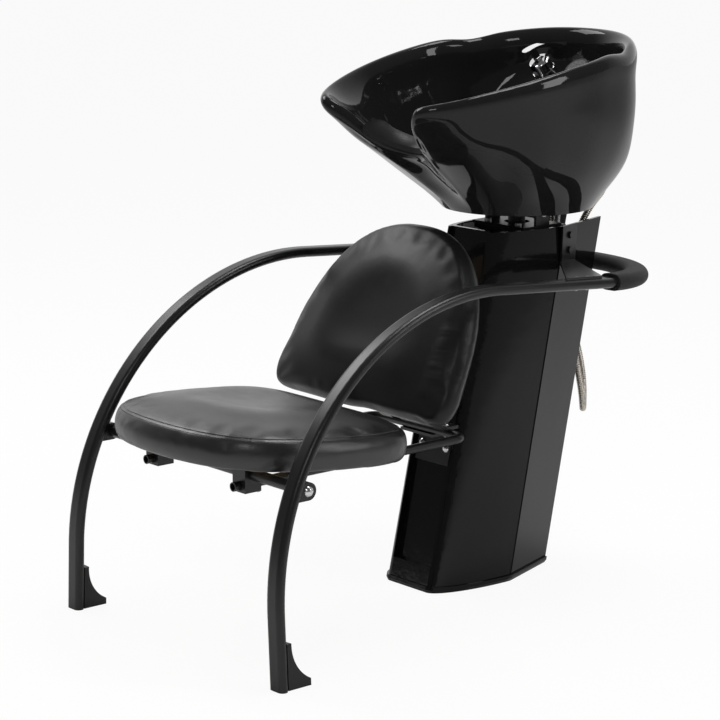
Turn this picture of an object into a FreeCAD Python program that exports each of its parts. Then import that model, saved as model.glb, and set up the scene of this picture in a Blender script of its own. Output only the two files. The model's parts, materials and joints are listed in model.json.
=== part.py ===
import FreeCAD
import Part
import math
import os

# Salon backwash unit: a chair on a bent tube frame, a leaning pedestal and a tilting basin.
# Millimetres. The origin is on the floor, in the middle of the pedestal's floor bolts.
# +X is the sitter's left, -Y is the front, +Z is up.

V = FreeCAD.Vector
X_AXIS = V(1, 0, 0)
Y_AXIS = V(0, 1, 0)
Z_AXIS = V(0, 0, 1)
SIDES = (1, -1)

# Clearances
OVERRUN = 6.0
FIT = 0.15
GAP = 0.3
HINGE_FIT = 0.05

# Arm tubes
TUBE_WIDTH = 35.0
TUBE_DEPTH = 18.0
TUBE_WALL = 2.0
FOOT_HALF_SPAN = 290.0
ARM_FRONT_Y = -715.0
LEG_STRAIGHT = 122.0
ARM_BEND = 475.0
ARM_LEAN_DEG = 2.95
ARM_DROP_DEG = 4.0
LOOP_START_Y = 45.0
LOOP_BEND_SHARE = 0.8838
PLUG_LENGTH = 40.0
PLUG_REACH = 8.0
SLEEVE_THICKNESS = 6.0
SLEEVE_LEAD = 26.0

# Feet
FOOT_HEIGHT = 78.0
FOOT_TOE = 47.0
FOOT_TOE_HEIGHT = 12.0
FOOT_BACK = 9.0
FOOT_WIDTH = 28.0
FOOT_SCREW_R = 3.0
FOOT_SCREW_Z_SHARES = (0.35, 0.72)
CAP_PLUG = 16.0

# Front crossbar and its lugs
CROSSBAR_Y = -646.0
CROSSBAR_Z = 320.0
CROSSBAR_R = 10.0
CROSSBAR_WALL = 2.5
LUG_WIDTH = 22.0
LUG_RING = 5.0
DOME_R = 9.0
DOME_HEIGHT = 5.5
CROSSBAR_BOLT_DEPTH = 30.0

# Seat frame
RAIL_R = 8.0
RAIL_WALL = 1.8
RAIL_HALF_SPAN = 122.0
RAIL_Z = 300.0
RAIL_FRONT_Y = -676.0
RAIL_REAR_Y = -150.0
RAIL_BEND = 24.0
CLAMP_WIDTH = 34.0
CLAMP_WALL = 3.0
SEAT_SCREW_R = 2.5
SEAT_SCREW_HEAD_R = 5.0
SEAT_SCREW_HEAD = 2.5
SEAT_SCREW_BITE = 6.0
SEAT_SCREW_SIDE = 12.5
SEAT_SCREW_BACK = 13.6
SEAT_SCREW_REAR_Y = -392.0

# Seat
SEAT_SLOPE_DEG = 5.0
SEAT_SIDE_CLEAR = 50.0
SEAT_HALF_WIDTH = FOOT_HALF_SPAN - SEAT_SIDE_CLEAR
SEAT_FRONT = 108.0
SEAT_DEPTH = 410.0
SEAT_BOXING = 57.0
SEAT_CROWN = 10.0
SEAT_OUTLINE_SHARES = (
    (0.0, 1.0), (0.36, 0.998), (0.68, 0.988), (0.88, 0.935), (0.985, 0.80), (1.0, 0.60), (0.955, 0.38),
    (0.83, 0.19), (0.62, 0.075), (0.33, 0.017), (0.0, 0.0),
)
SEAT_LAYER_SHARES = ((0.0, 0.962), (0.28, 1.0), (0.74, 0.998), (1.0, 0.962))
SEAT_CROWN_SHARES = ((0.55, 0.86), (0.88, 0.64), (1.0, 0.36))
BOARD_THICKNESS = 12.0
BOARD_INSET_SHARE = 0.90

# Backrest
BACK_LEAN_DEG = 28.0
BACK_BOTTOM_Y = -322.0
BACK_BOTTOM_Z = 370.0
BACK_SIDE_CLEAR = 58.0
BACK_HALF_WIDTH = FOOT_HALF_SPAN - BACK_SIDE_CLEAR
BACK_HEIGHT = 350.0
BACK_THICKNESS = 44.0
BACK_CROWN = 9.0
BACK_OUTLINE_SHARES = (
    (0.0, 0.0), (0.42, 0.0), (0.80, 0.002), (0.95, 0.022), (1.0, 0.085), (0.995, 0.22), (0.955, 0.42),
    (0.86, 0.62), (0.68, 0.81), (0.40, 0.95), (0.0, 1.0),
)
BACK_LAYER_SHARES = ((0.0, 0.955), (0.32, 1.0), (0.70, 0.998), (1.0, 0.962))
BACK_CROWN_SHARES = ((0.55, 0.87), (0.88, 0.66), (1.0, 0.38))
BACK_BOARD_THICKNESS = 10.0
BACK_BOARD_SHARE = 0.86
BACK_CENTRE_SHARE = 0.47
BRACKET_X = 70.0
BRACKET_WIDTH = 30.0
BRACKET_THICKNESS = 6.0
BRACKET_FOOT = 34.0
BRACKET_RISE = 190.0
BRACKET_TOE_RISE = 42.0
BRACKET_BOLT_R = 3.0
BRACKET_BOLT_HEAD_R = 5.5
BRACKET_BOLT_HEAD = 4.0
BACK_SCREW_SHARES = (0.30, 0.82)

# Pedestal
PEDESTAL_HEIGHT = 650.0
PEDESTAL_LEAN = 141.0
PEDESTAL_HALF_WIDTH = 97.0
PEDESTAL_FRONT = -178.0
PEDESTAL_FLAT = 50.0
PEDESTAL_SHOULDER_Y = -10.0
PEDESTAL_REAR = 124.0
PEDESTAL_REAR_HALF = 52.0
PEDESTAL_TOP_SHARE = 0.90
PEDESTAL_WALL = 5.0
PEDESTAL_FRONT_WALL = 20.0
RECESS_DEPTH = 12.0
RECESS_HALF_WIDTH = 52.0
RECESS_BOTTOM = 46.0
LEDGE_DROP = 22.0
FLANGE_OUT = 4.0
FLANGE_HEIGHT = 12.0
GROOVE_R = 2.5
GROOVE_Y = -10.0
FIN_RETURN = 5.0

# Pedestal steelwork
BASE_THICKNESS = 6.0
BASE_HALF_WIDTH = 54.0
BASE_HALF_DEPTH = 92.0
FLOOR_BOLT_X = 60.0
FLOOR_BOLT_Y = 140.0
FLOOR_HOLE_R = 5.5
POST_SIZE = 30.0
POST_WALL = 3.0
POST_X = 39.0
POST_FOOT_Y = -62.0
POST_HEAD_Y = 58.0
TOP_PLATE_THICKNESS = 8.0
TOP_PLATE_HALF_WIDTH = 62.0
TOP_PLATE_FRONT = 40.0
TOP_PLATE_REAR = 156.0
TOP_PLATE_DROP = 2.0
WASTE_CLEAR = 8.0
CROSS_HALF_WIDTH = 46.0
CROSS_HEIGHT = 70.0
CROSS_THICKNESS = 5.0
CROSS_WEB = 6.0
STAY_HALF_WIDTH = 44.0
STAY_THICKNESS = 5.0
STAY_HEIGHT = 62.0
STAY_BOLT_X = 32.0
STAY_BOLT_Z = 258.0
STAY_BOLT_R = 4.0
STAY_BOLT_END = 8.0
STAY_DOME_R = 8.0
STAY_DOME_HEIGHT = 4.5

# Arm brackets on the pedestal
PLATE_THICKNESS = 5.0
PLATE_HEIGHT = 74.0
PLATE_DROP = 72.0
PLATE_WIDTH = 52.0
PLATE_CENTRE_Y = 140.0
TAB_WIDTH = 90.0
TAB_CENTRE_Y = -4.0
PLATE_BOLT_R = 4.0
PLATE_BOLT_HEAD_R = 7.0
PLATE_BOLT_HEAD = 4.0
PLATE_BOLT_END = 6.0
PLATE_BOLT_SHARES = (0.36, 0.74)
TAB_SCREW_R = 2.5
TAB_SCREW_HEAD_R = 4.5
TAB_SCREW_HEAD = 2.5
TAB_SCREW_SPACING = 26.0

# Basin
DRUM_Y = 90.0
DRUM_RISE = 33.0
DRUM_Z = PEDESTAL_HEIGHT + DRUM_RISE
DRUM_R = 140.0
BASIN_REACH = 391.0
BASIN_RISE = 327.0
RIM_ROLL = 12.0
FLOOR_RISE = 48.0
DRAIN_RING_R = 36.0
DRAIN_HOLE_R = 24.0
DRUM_WALL = 18.0
DRUM_HOLLOW = 28.0
DECK_WALL = 15.0
POCKET_HALF_WIDTH = 88.0
POCKET_EASE = 10.0
BOSS_R = 30.0
BOSS_LIFT = 3.0
SPOT_EASE = 3.0
SKIRT_RISE = 84.0
SKIRT_REACH = 40.0
BASIN_COLUMNS = 64
SECTION_POINTS = 44
# Angle from the front, then the rim's radius as a share of the reach and its height
# as a share of the rise.
RIM_SHARES = (
    (0.0, 0.640, 0.380), (8.5, 0.698, 0.408), (12.5, 0.826, 0.496), (15.1, 0.934, 0.610),
    (17.9, 1.0, 0.668), (23.0, 0.980, 0.690), (33.0, 0.887, 0.730), (48.0, 0.765, 0.788),
    (69.0, 0.651, 0.853), (85.0, 0.605, 0.892), (96.0, 0.578, 0.906), (106.0, 0.570, 0.896),
    (119.5, 0.556, 0.926), (135.5, 0.540, 0.956), (154.0, 0.527, 0.974), (180.0, 0.522, 0.980),
)
# Outer wall: heights above the drum's foot, then how far out the wall is at each height.
WALL_HEIGHT_SHARES = (0.0, 0.12, 0.28, 0.48, 0.70, 0.88, 1.0)
WALL_OUT_SHARES = (
    (0.0, (0.0, 0.10, 0.24, 0.42, 0.66, 0.87, 1.0)),
    (17.9, (0.0, 0.10, 0.27, 0.50, 0.76, 0.93, 1.0)),
    (35.0, (0.0, 0.14, 0.36, 0.62, 0.85, 0.965, 1.0)),
    (60.0, (0.0, 0.20, 0.50, 0.76, 0.92, 0.985, 1.0)),
    (106.0, (0.0, 0.28, 0.64, 0.90, 1.0, 1.01, 1.0)),
    (145.0, (0.0, 0.42, 0.88, 1.02, 1.04, 1.02, 1.0)),
    (180.0, (0.0, 0.42, 0.88, 1.02, 1.04, 1.02, 1.0)),
)
# Inner wall: radius and depth shares from the rim down to the drain.
BOWL_SHARES = (
    (0.0, ((1.0, 0.0), (0.97, 0.18), (0.91, 0.42), (0.82, 0.66), (0.68, 0.85), (0.46, 0.96))),
    (17.9, ((1.0, 0.0), (0.93, 0.12), (0.82, 0.36), (0.71, 0.60), (0.57, 0.82), (0.39, 0.955))),
    (60.0, ((1.0, 0.0), (0.985, 0.15), (0.945, 0.38), (0.87, 0.62), (0.73, 0.84), (0.50, 0.965))),
    (112.0, ((1.0, 0.0), (0.99, 0.16), (0.96, 0.40), (0.89, 0.63), (0.75, 0.84), (0.52, 0.965))),
    (148.0, ((1.0, 0.0), (0.99, 0.16), (0.96, 0.315), (0.62, 0.51), (0.53, 0.72), (0.42, 0.945))),
    (180.0, ((1.0, 0.0), (0.99, 0.16), (0.96, 0.315), (0.60, 0.51), (0.51, 0.72), (0.41, 0.945))),
)

# Neck rest
NECK_HALF_ANGLE_DEG = 13.0
NECK_INSIDE = 52.0
NECK_OUTSIDE = 14.0
NECK_THICKNESS = 10.0
NECK_DROP = 16.0

# Drain
FLANGE_R = 34.0
FLANGE_THICKNESS = 2.5
DRAIN_WALL = 2.5
DRAIN_TAIL = 56.0
DRAIN_STRAIGHT = 34.0
DRAIN_CONE = 12.0
DRAIN_NUT_R = 32.0
DRAIN_NUT_HEIGHT = 12.0
STRAINER_R = 26.0
STRAINER_HEIGHT = 3.0
STRAINER_CUP_R = 18.0
STRAINER_CUP = 10.0
STRAINER_HOLE_R = 2.6
STRAINER_HOLES = 6
STRAINER_RING_SHARE = 0.58

# Tilt mechanism
HINGE_RISE = 28.0
HINGE_Z = PEDESTAL_HEIGHT + HINGE_RISE
HINGE_PIN_R = 6.0
HINGE_PIN_LENGTH = 26.0
HINGE_PIN_HEAD = 4.0
HINGE_PIN_HEAD_R = 9.0
EAR_THICKNESS = 6.0
EAR_HALF_DEPTH = 17.0
BASE_EAR_X = 62.0
CRADLE_PLATE = 6.0
CRADLE_HALF_WIDTH = 76.0
CRADLE_HALF_DEPTH = 62.0
BRACKET_PLATE = 5.0
TILT_BOLT_R = 4.0
TILT_BOLT_HEAD_R = 6.5
TILT_BOLT_HEAD = 4.0
TILT_BASE_BOLT_Y = 36.0
TILT_BASE_BOLT_X = 40.0
CRADLE_BOLT_X = 56.0
CRADLE_BOLT_Y = 46.0
CRADLE_BOLT_BITE = 12.0

# Tap
TAP_X = -46.0
SHOWER_X = 48.0
TAP_R = 22.0
TAP_HEIGHT = 42.0
TAP_BASE_R = 26.0
TAP_BASE = 6.0
TAP_CAP_R = 21.0
TAP_CAP_HEIGHT = 22.0
CAP_ROUND = 4.0
CAP_FLOOR = 3.0
CAP_SPIGOT_R = 11.0
CAP_SPIGOT = 12.0
TAP_SHANK_R = 14.0
TAP_SHANK = 30.0
TAP_NUT_R = 22.0
TAP_NUT_HEIGHT = 8.0
LEVER_NOSE = 30.0
LEVER_TAIL = 70.0
LEVER_END = 10.0
LEVER_TRIM = 5.0
LEVER_STEM = 30.0
LEVER_STEM_REACH = 7.0
LEVER_PIN_R = 2.5
LEVER_PIVOT_SHARE = 0.5
LEVER_WIDTH = 24.0
LEVER_THICKNESS = 7.0
LEVER_ARCH = 16.0
LEVER_STEM_R = 5.0
LEVER_SLOT = 12.0

# Hand shower
GUIDE_R = 20.0
GUIDE_FLANGE = 6.0
GUIDE_FLANGE_R = 25.0
GUIDE_LENGTH = 34.0
GUIDE_NUT_R = 26.0
GUIDE_NUT_HEIGHT = 8.0
FERRULE_R = 11.0
FERRULE_WALL = 2.0
FERRULE_LENGTH = 24.0
SHOWER_R = 17.0
SHOWER_NECK_R = 13.0
SHOWER_HANDLE = 26.0
SHOWER_HEAD_R = 23.0
SHOWER_HEAD = 30.0
SHOWER_FLARE = 10.0
SPRAY_R = 19.0
SPRAY_DEPTH = 2.0
SPRAY_HOLE_R = 1.1
SPRAY_RINGS = ((0.0, 1), (0.40, 6), (0.75, 10))

# Hoses
SHOWER_HOSE_R = 6.5
SHOWER_HOSE_WALL = 1.5
SUPPLY_HOSE_R = 5.5
SUPPLY_HOSE_WALL = 1.5
WASTE_HOSE_R = 16.0
WASTE_HOSE_WALL = 2.0
HOSE_INSIDE = 34.0
ARC_SHARE = 0.45
TAIL_LEAD = 30.0
TAIL_SPREAD_SHARE = 0.6
SHOWER_TAIL_BACK = 7.0
SUPPLY_TAIL_X = 6.5
SUPPLY_TAIL_BACK = 5.0
SHOWER_HOSE_ROUTE = (
    (44, 267, 772), (41, 287, 706), (38, 246, 672), (34, 221, 634), (32, 211, 594), (31, 208, 552),
    (30, 206, 510), (30, 208, 468), (30, 212, 426), (30, 219, 386), (31, 229, 347), (29, 240, 311),
    (21, 252, 282), (6, 268, 268), (-9, 285, 280), (-18, 294, 309), (-23, 292, 347), (-26, 283, 388),
    (-28, 268, 428), (-30, 250, 468), (-31, 233, 509), (-32, 220, 551), (-33, 213, 594),
    (-34, 217, 637), (-36, 229, 677), (-39, 243, 716), (-42, 256, 754), (-45, 267, 797),
)
HOT_HOSE_ROUTE = (
    (-58, 254, 792), (-54, 240, 748), (-48, 222, 706), (-42, 202, 668), (-38, 189, 628),
    (-36, 181, 582), (-35, 172, 536), (-34, 162, 488), (-34, 151, 440), (-33, 141, 392),
    (-33, 130, 344), (-32, 120, 296), (-32, 110, 250), (-31, 105, 210),
)
COLD_HOSE_ROUTE = (
    (-30, 254, 792), (-22, 240, 748), (-13, 222, 706), (-4, 202, 668), (4, 189, 628),
    (10, 181, 582), (16, 172, 536), (21, 162, 488), (25, 151, 440), (28, 141, 392),
    (30, 130, 344), (31, 120, 296), (31, 110, 250), (31, 105, 210),
)
WASTE_HOSE_ROUTE = (
    (0, 88, 610), (0, 66, 490), (0, 30, 370), (0, 0, 285), (0, -12, 225), (0, -13, 165), (0, 13, 119),
    (0, 59, 92),
)

# Services at the pedestal's foot
SERVICE_THICKNESS = 5.0
SERVICE_HALF_WIDTH = 46.0
SERVICE_Y = 112.0
SERVICE_FOOT = 50.0
INLET_X = 31.0
INLET_Y = 104.0
INLET_TOP = 172.0
OUTLET_Z = 92.0
INLET_R = 8.0
INLET_LENGTH = 22.0
INLET_NUT_R = 11.0
OUTLET_SPIGOT = 40.0
OUTLET_CLEAR = 1.0
OUTLET_RELIEF = 0.5
OUTLET_FLANGE_R = 25.0
OUTLET_FLANGE = 4.0


def cylinder(base, axis, radius, length):
    """Solid cylinder from a base point along an axis."""
    return Part.makeCylinder(radius, length, base, axis)


def pipe_piece(base, axis, radius, wall, length):
    """Straight pipe with a bore."""
    bore = cylinder(base, axis, radius - wall, length)
    return cylinder(base, axis, radius, length).cut(bore)


def box(low, high):
    """Box between two corners."""
    size = high - low
    return Part.makeBox(size.x, size.y, size.z, low)


def prism_x(points, low_x, high_x):
    """Polygon of (y, z) points extruded from low_x to high_x."""
    corners = [V(low_x, y, z) for y, z in points]
    face = Part.Face(Part.makePolygon(corners + corners[:1]))
    return face.extrude(V(high_x - low_x, 0, 0))


def dome(base, axis, radius, height):
    """Round bolt head: a spherical cap on its flat side."""
    ball_r = (radius * radius + height * height) / (height + height)
    rim = V(radius, 0, 0)
    half = math.atan2(radius, ball_r - height) / 2
    middle = V(ball_r * math.sin(half), 0, ball_r * math.cos(half) - ball_r + height)
    top = V(0, 0, height)
    centre = V(0, 0, 0)
    edges = [Part.makeLine(centre, rim), Part.Arc(rim, middle, top).toShape(), Part.makeLine(top, centre)]
    shape = Part.Face(Part.Wire(edges)).revolve(centre, Z_AXIS, 360)
    return seated(shape, base, axis)


def seated(shape, base, axis, across=X_AXIS):
    """Move a shape from the origin and +Z to a base point and an axis."""
    shape.Placement = FreeCAD.Placement(base, FreeCAD.Rotation(across, V(0, 0, 0), axis, "ZXY"))
    return shape


def screw(base, axis, radius, length, head_r, head):
    """Round-headed screw: the head stands out of the base point, the shank goes along the axis."""
    shank = cylinder(base, axis, radius, length)
    return shank.fuse(dome(base, axis * -1, head_r, head))


def hex_bolt(base, axis, radius, length, head_r, head):
    """Hexagon bolt with its head against the base point."""
    corners = []
    for step in range(6):
        turn = math.radians(60 * step)
        corners.append(V(head_r * math.cos(turn), head_r * math.sin(turn), 0))
    top = Part.Face(Part.makePolygon(corners + corners[:1])).extrude(V(0, 0, head))
    return cylinder(base, axis, radius, length).fuse(seated(top, base, axis * -1))


def hex_nut(base, axis, bore, head_r, height):
    """Hexagon nut with a plain bore."""
    corners = []
    for step in range(6):
        turn = math.radians(60 * step)
        corners.append(V(head_r * math.cos(turn), head_r * math.sin(turn), 0))
    body = Part.Face(Part.makePolygon(corners + corners[:1])).extrude(V(0, 0, height))
    body = body.cut(cylinder(V(0, 0, 0), Z_AXIS, bore, height))
    return seated(body, base, axis)


def oval_wire(centre, wide, thick, width, depth):
    """Flat oval: two straight sides and two half circles, around a centre."""
    half = (width - depth) / 2
    r = depth / 2
    corners = [
        centre + wide * (a * half) + thick * (b * r) for a, b in ((1, 1), (-1, 1), (-1, -1), (1, -1))
    ]
    left = Part.Arc(corners[1], centre - wide * (half + r), corners[2]).toShape()
    right = Part.Arc(corners[3], centre + wide * (half + r), corners[0]).toShape()
    edges = [Part.makeLine(corners[0], corners[1]), left, Part.makeLine(corners[2], corners[3]), right]
    return Part.Wire(edges)


def sweep(path, profile, binormal):
    """Profile carried along a path with one direction kept across it."""
    maker = Part.BRepOffsetAPI.MakePipeShell(path)
    maker.setBiNormalMode(binormal)
    maker.add(profile)
    maker.build()
    maker.makeSolid()
    return maker.shape()


def group(solids):
    """Several separate solids as one node."""
    return Part.makeCompound(solids)


# Arm tubes and the rear loop
ARM_LEAN = math.radians(ARM_LEAN_DEG)
ARM_DROP = math.radians(ARM_DROP_DEG)
ARM_TANGENT = V(0, math.cos(ARM_DROP), -math.sin(ARM_DROP))
ARM_UP = V(0, math.sin(ARM_DROP), math.cos(ARM_DROP))


def arm_point(side, along, up):
    """Point of the leaning arm plane: along runs to the rear, up runs up the leg."""
    x = FOOT_HALF_SPAN - up * math.sin(ARM_LEAN)
    return V(side * x, ARM_FRONT_Y + along, up * math.cos(ARM_LEAN))


def arm_stations():
    """Plane points of the arm's line: foot, bend start, bend middle, bend end, loop joint."""
    end_turn = math.pi / 2 - ARM_DROP
    middle_turn = (math.pi + end_turn) / 2
    bend = [
        (ARM_BEND + ARM_BEND * math.cos(t), LEG_STRAIGHT + ARM_BEND * math.sin(t))
        for t in (middle_turn, end_turn)
    ]
    run = (LOOP_START_Y - ARM_FRONT_Y - bend[1][0]) / math.cos(ARM_DROP)
    joint = (bend[1][0] + run * math.cos(ARM_DROP), bend[1][1] - run * math.sin(ARM_DROP))
    return [(0, 0), (0, LEG_STRAIGHT), bend[0], bend[1], joint]


def arm_joint(side):
    """Where an arm tube meets the rear loop."""
    along, up = arm_stations()[-1]
    return arm_point(side, along, up)


def arm_top_z(y):
    """Centre height of the straight stretch of an arm at a place along Y."""
    joint = arm_joint(1)
    return joint.z + (joint.y - y) * math.tan(ARM_DROP)


def arm_x(z):
    """Distance of an arm's centre from the middle plane at a height."""
    return FOOT_HALF_SPAN - z * math.tan(ARM_LEAN)


def arm_tube(side):
    """One bent leg and arm, hollow."""
    foot, start, middle, end, joint = [arm_point(side, a, u) for a, u in arm_stations()]
    arc = Part.Arc(start, middle, end).toShape()
    path = Part.Wire([Part.makeLine(foot, start), arc, Part.makeLine(end, joint)])
    solids = []
    for trim in (0, TUBE_WALL):
        profile = oval_wire(foot, X_AXIS, Y_AXIS, TUBE_WIDTH - trim - trim, TUBE_DEPTH - trim - trim)
        solids.append(sweep(path, profile, X_AXIS))
    return solids[0].cut(solids[1])


LOOP_BEND = arm_joint(1).x * LOOP_BEND_SHARE


def loop_edges(lead):
    """Edges of the rear loop's line, starting a lead past the arm joints."""
    left, right = arm_joint(1), arm_joint(-1)
    corner = [left - X_AXIS * LOOP_BEND, right + X_AXIS * LOOP_BEND]
    rear = [corner[0] + ARM_TANGENT * LOOP_BEND, corner[1] + ARM_TANGENT * LOOP_BEND]
    turn = math.asin(lead / LOOP_BEND)
    half = (math.pi / 2 + turn) / 2

    def around(index, side, angle):
        spoke = X_AXIS * (side * math.cos(angle)) + ARM_TANGENT * math.sin(angle)
        return corner[index] + spoke * LOOP_BEND

    first = Part.Arc(around(0, 1, turn), around(0, 1, half), rear[0]).toShape()
    last = Part.Arc(rear[1], around(1, -1, half), around(1, -1, turn)).toShape()
    return [first, Part.makeLine(rear[0], rear[1]), last], turn


def loop_solid(lead, grow):
    """Oval tube along the rear loop, grown by a margin."""
    edges, turn = loop_edges(lead)
    start = edges[0].valueAt(edges[0].FirstParameter)
    wide = X_AXIS * math.cos(turn) + ARM_TANGENT * math.sin(turn)
    profile = oval_wire(start, wide, ARM_UP, TUBE_WIDTH + grow + grow, TUBE_DEPTH + grow + grow)
    return sweep(Part.Wire(edges), profile, ARM_UP)


def joint_plug(side):
    """Plug inside the arm and the loop that joins them."""
    inset = TUBE_WALL + FIT
    joint = arm_joint(side)
    start = joint - ARM_TANGENT * PLUG_LENGTH
    profile = oval_wire(start, X_AXIS, ARM_UP, TUBE_WIDTH - inset - inset, TUBE_DEPTH - inset - inset)
    return Part.Face(profile).extrude(ARM_TANGENT * (PLUG_LENGTH + PLUG_REACH))


def foot(side):
    """Toe bracket behind the lower end of a leg, with a hollow curve down to its toe."""
    back = ARM_FRONT_Y + TUBE_DEPTH / 2
    heel = back + FOOT_BACK
    toe = back + FOOT_TOE
    points = [
        V(0, back, 0), V(0, toe, 0), V(0, toe, FOOT_TOE_HEIGHT), V(0, heel, FOOT_HEIGHT),
        V(0, back, FOOT_HEIGHT)
    ]
    swing = V(0, heel + (toe - heel) / 3, FOOT_TOE_HEIGHT + (FOOT_HEIGHT - FOOT_TOE_HEIGHT) / 3)
    edges = [
        Part.makeLine(points[0], points[1]), Part.makeLine(points[1], points[2]),
        Part.Arc(points[2], swing, points[3]).toShape(),
        Part.makeLine(points[3], points[4]), Part.makeLine(points[4], points[0]),
    ]
    body = Part.Face(Part.Wire(edges)).extrude(X_AXIS * FOOT_WIDTH)
    body.translate(V(-FOOT_WIDTH / 2, 0, 0))
    body.rotate(V(0, 0, 0), Y_AXIS, -side * ARM_LEAN_DEG)
    body.translate(V(side * FOOT_HALF_SPAN, 0, 0))
    reach = FOOT_HALF_SPAN + FOOT_WIDTH
    floor_cut = box(V(-reach, back - OVERRUN, -FOOT_WIDTH), V(reach, toe + OVERRUN, 0))
    body = body.cut(floor_cut)
    for point, axis in foot_screw_places(side):
        body = body.cut(cylinder(point - axis * OVERRUN, axis, FOOT_SCREW_R, FOOT_BACK + FOOT_TOE))
    return body


def foot_screw_places(side):
    """Screw seats on the sloping back of a foot, with the way the screws point."""
    places = []
    for share in FOOT_SCREW_Z_SHARES:
        z = FOOT_HEIGHT * share
        point = V(side * arm_x(z), ARM_FRONT_Y + TUBE_DEPTH / 2 + FOOT_BACK, z)
        places.append((point, Y_AXIS * -1))
    return places


def foot_screw(point, axis):
    """Screw from the back of a foot into the leg's wall."""
    return cylinder(point, axis, FOOT_SCREW_R - FIT, FOOT_BACK)


def end_cap(side):
    """Plastic plug in the foot of a leg."""
    inset = TUBE_WALL + FIT
    centre = V(side * FOOT_HALF_SPAN, ARM_FRONT_Y, 0)
    up = V(-side * math.sin(ARM_LEAN), 0, math.cos(ARM_LEAN))
    profile = oval_wire(centre, X_AXIS, Y_AXIS, TUBE_WIDTH - inset - inset, TUBE_DEPTH - inset - inset)
    return Part.Face(profile).extrude(up * CAP_PLUG)


# Front crossbar, lugs and clamps
def leg_back_y(z):
    """Rear face of a leg at a height on the bend."""
    rise = z / math.cos(ARM_LEAN) - LEG_STRAIGHT
    return ARM_FRONT_Y + ARM_BEND - math.sqrt(ARM_BEND * ARM_BEND - rise * rise) + TUBE_DEPTH / 2


CROSSBAR_HALF = arm_x(CROSSBAR_Z) + LUG_WIDTH / 2


def crossbar_lug(side):
    """Welded lug behind a leg with a ring round the crossbar."""
    x = side * arm_x(CROSSBAR_Z)
    low_x = x - LUG_WIDTH / 2
    ring_r = CROSSBAR_R + LUG_RING
    centre = V(low_x, CROSSBAR_Y, CROSSBAR_Z)
    ring = cylinder(centre, X_AXIS, ring_r, LUG_WIDTH)
    web = box(
        V(low_x, leg_back_y(CROSSBAR_Z) - TUBE_DEPTH / 2, CROSSBAR_Z - ring_r),
        V(low_x + LUG_WIDTH, CROSSBAR_Y, CROSSBAR_Z + ring_r),
    )
    body = ring.fuse(web).cut(
        cylinder(centre - X_AXIS * OVERRUN, X_AXIS, CROSSBAR_R + FIT, LUG_WIDTH + OVERRUN * 2)
    )
    return body.cut(arm_envelope(side)).removeSplitter()


def arm_envelope(side):
    """Filled leg and arm, used to shape what is fitted to it."""
    foot_point, start, middle, end, joint = [arm_point(side, a, u) for a, u in arm_stations()]
    arc = Part.Arc(start, middle, end).toShape()
    path = Part.Wire([Part.makeLine(foot_point, start), arc, Part.makeLine(end, joint)])
    return sweep(path, oval_wire(foot_point, X_AXIS, Y_AXIS, TUBE_WIDTH, TUBE_DEPTH), X_AXIS)


def crossbar():
    """Front crossbar tube."""
    return pipe_piece(
        V(-CROSSBAR_HALF, CROSSBAR_Y, CROSSBAR_Z), X_AXIS, CROSSBAR_R, CROSSBAR_WALL, CROSSBAR_HALF * 2
    )


def crossbar_bolt(side):
    """Domed bolt closing one end of the crossbar."""
    end = V(side * CROSSBAR_HALF, CROSSBAR_Y, CROSSBAR_Z)
    inward = X_AXIS * -side
    return screw(end, inward, CROSSBAR_R - CROSSBAR_WALL - FIT, CROSSBAR_BOLT_DEPTH, DOME_R, DOME_HEIGHT)


SEAT_SLOPE = math.radians(SEAT_SLOPE_DEG)
CLAMP_TOP = CROSSBAR_Z + CROSSBAR_R + CLAMP_WALL
SEAT_BASE_Z = CLAMP_TOP + FIT + CLAMP_WIDTH / 2 * math.tan(SEAT_SLOPE)


def crossbar_clamp(side):
    """Block that holds a seat rail under the crossbar."""
    half = CLAMP_WIDTH / 2
    x = side * RAIL_HALF_SPAN
    body = box(
        V(x - half, CROSSBAR_Y - half, RAIL_Z - RAIL_R - CLAMP_WALL),
        V(x + half, CROSSBAR_Y + half, CLAMP_TOP)
    )
    bar = cylinder(V(x - CLAMP_WIDTH, CROSSBAR_Y, CROSSBAR_Z), X_AXIS, CROSSBAR_R + FIT, CLAMP_WIDTH * 2)
    rail = cylinder(V(x, CROSSBAR_Y - CLAMP_WIDTH, RAIL_Z), Y_AXIS, RAIL_R + FIT, CLAMP_WIDTH * 2)
    hole = cylinder(clamp_screw_base(side) - Z_AXIS * OVERRUN, Z_AXIS, SEAT_SCREW_R, CLAMP_TOP)
    return body.cut(bar).cut(rail).cut(hole)


def clamp_screw_base(side):
    """Foot of the seat screw that passes through a clamp."""
    x = side * (RAIL_HALF_SPAN + SEAT_SCREW_SIDE)
    return V(x, CROSSBAR_Y + SEAT_SCREW_BACK, RAIL_Z - RAIL_R - CLAMP_WALL)


# Seat frame and seat
def seat_plane_z(y):
    """Height of the seat board's underside at a place along Y."""
    return SEAT_BASE_Z - (y - CROSSBAR_Y) * math.tan(SEAT_SLOPE)


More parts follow.
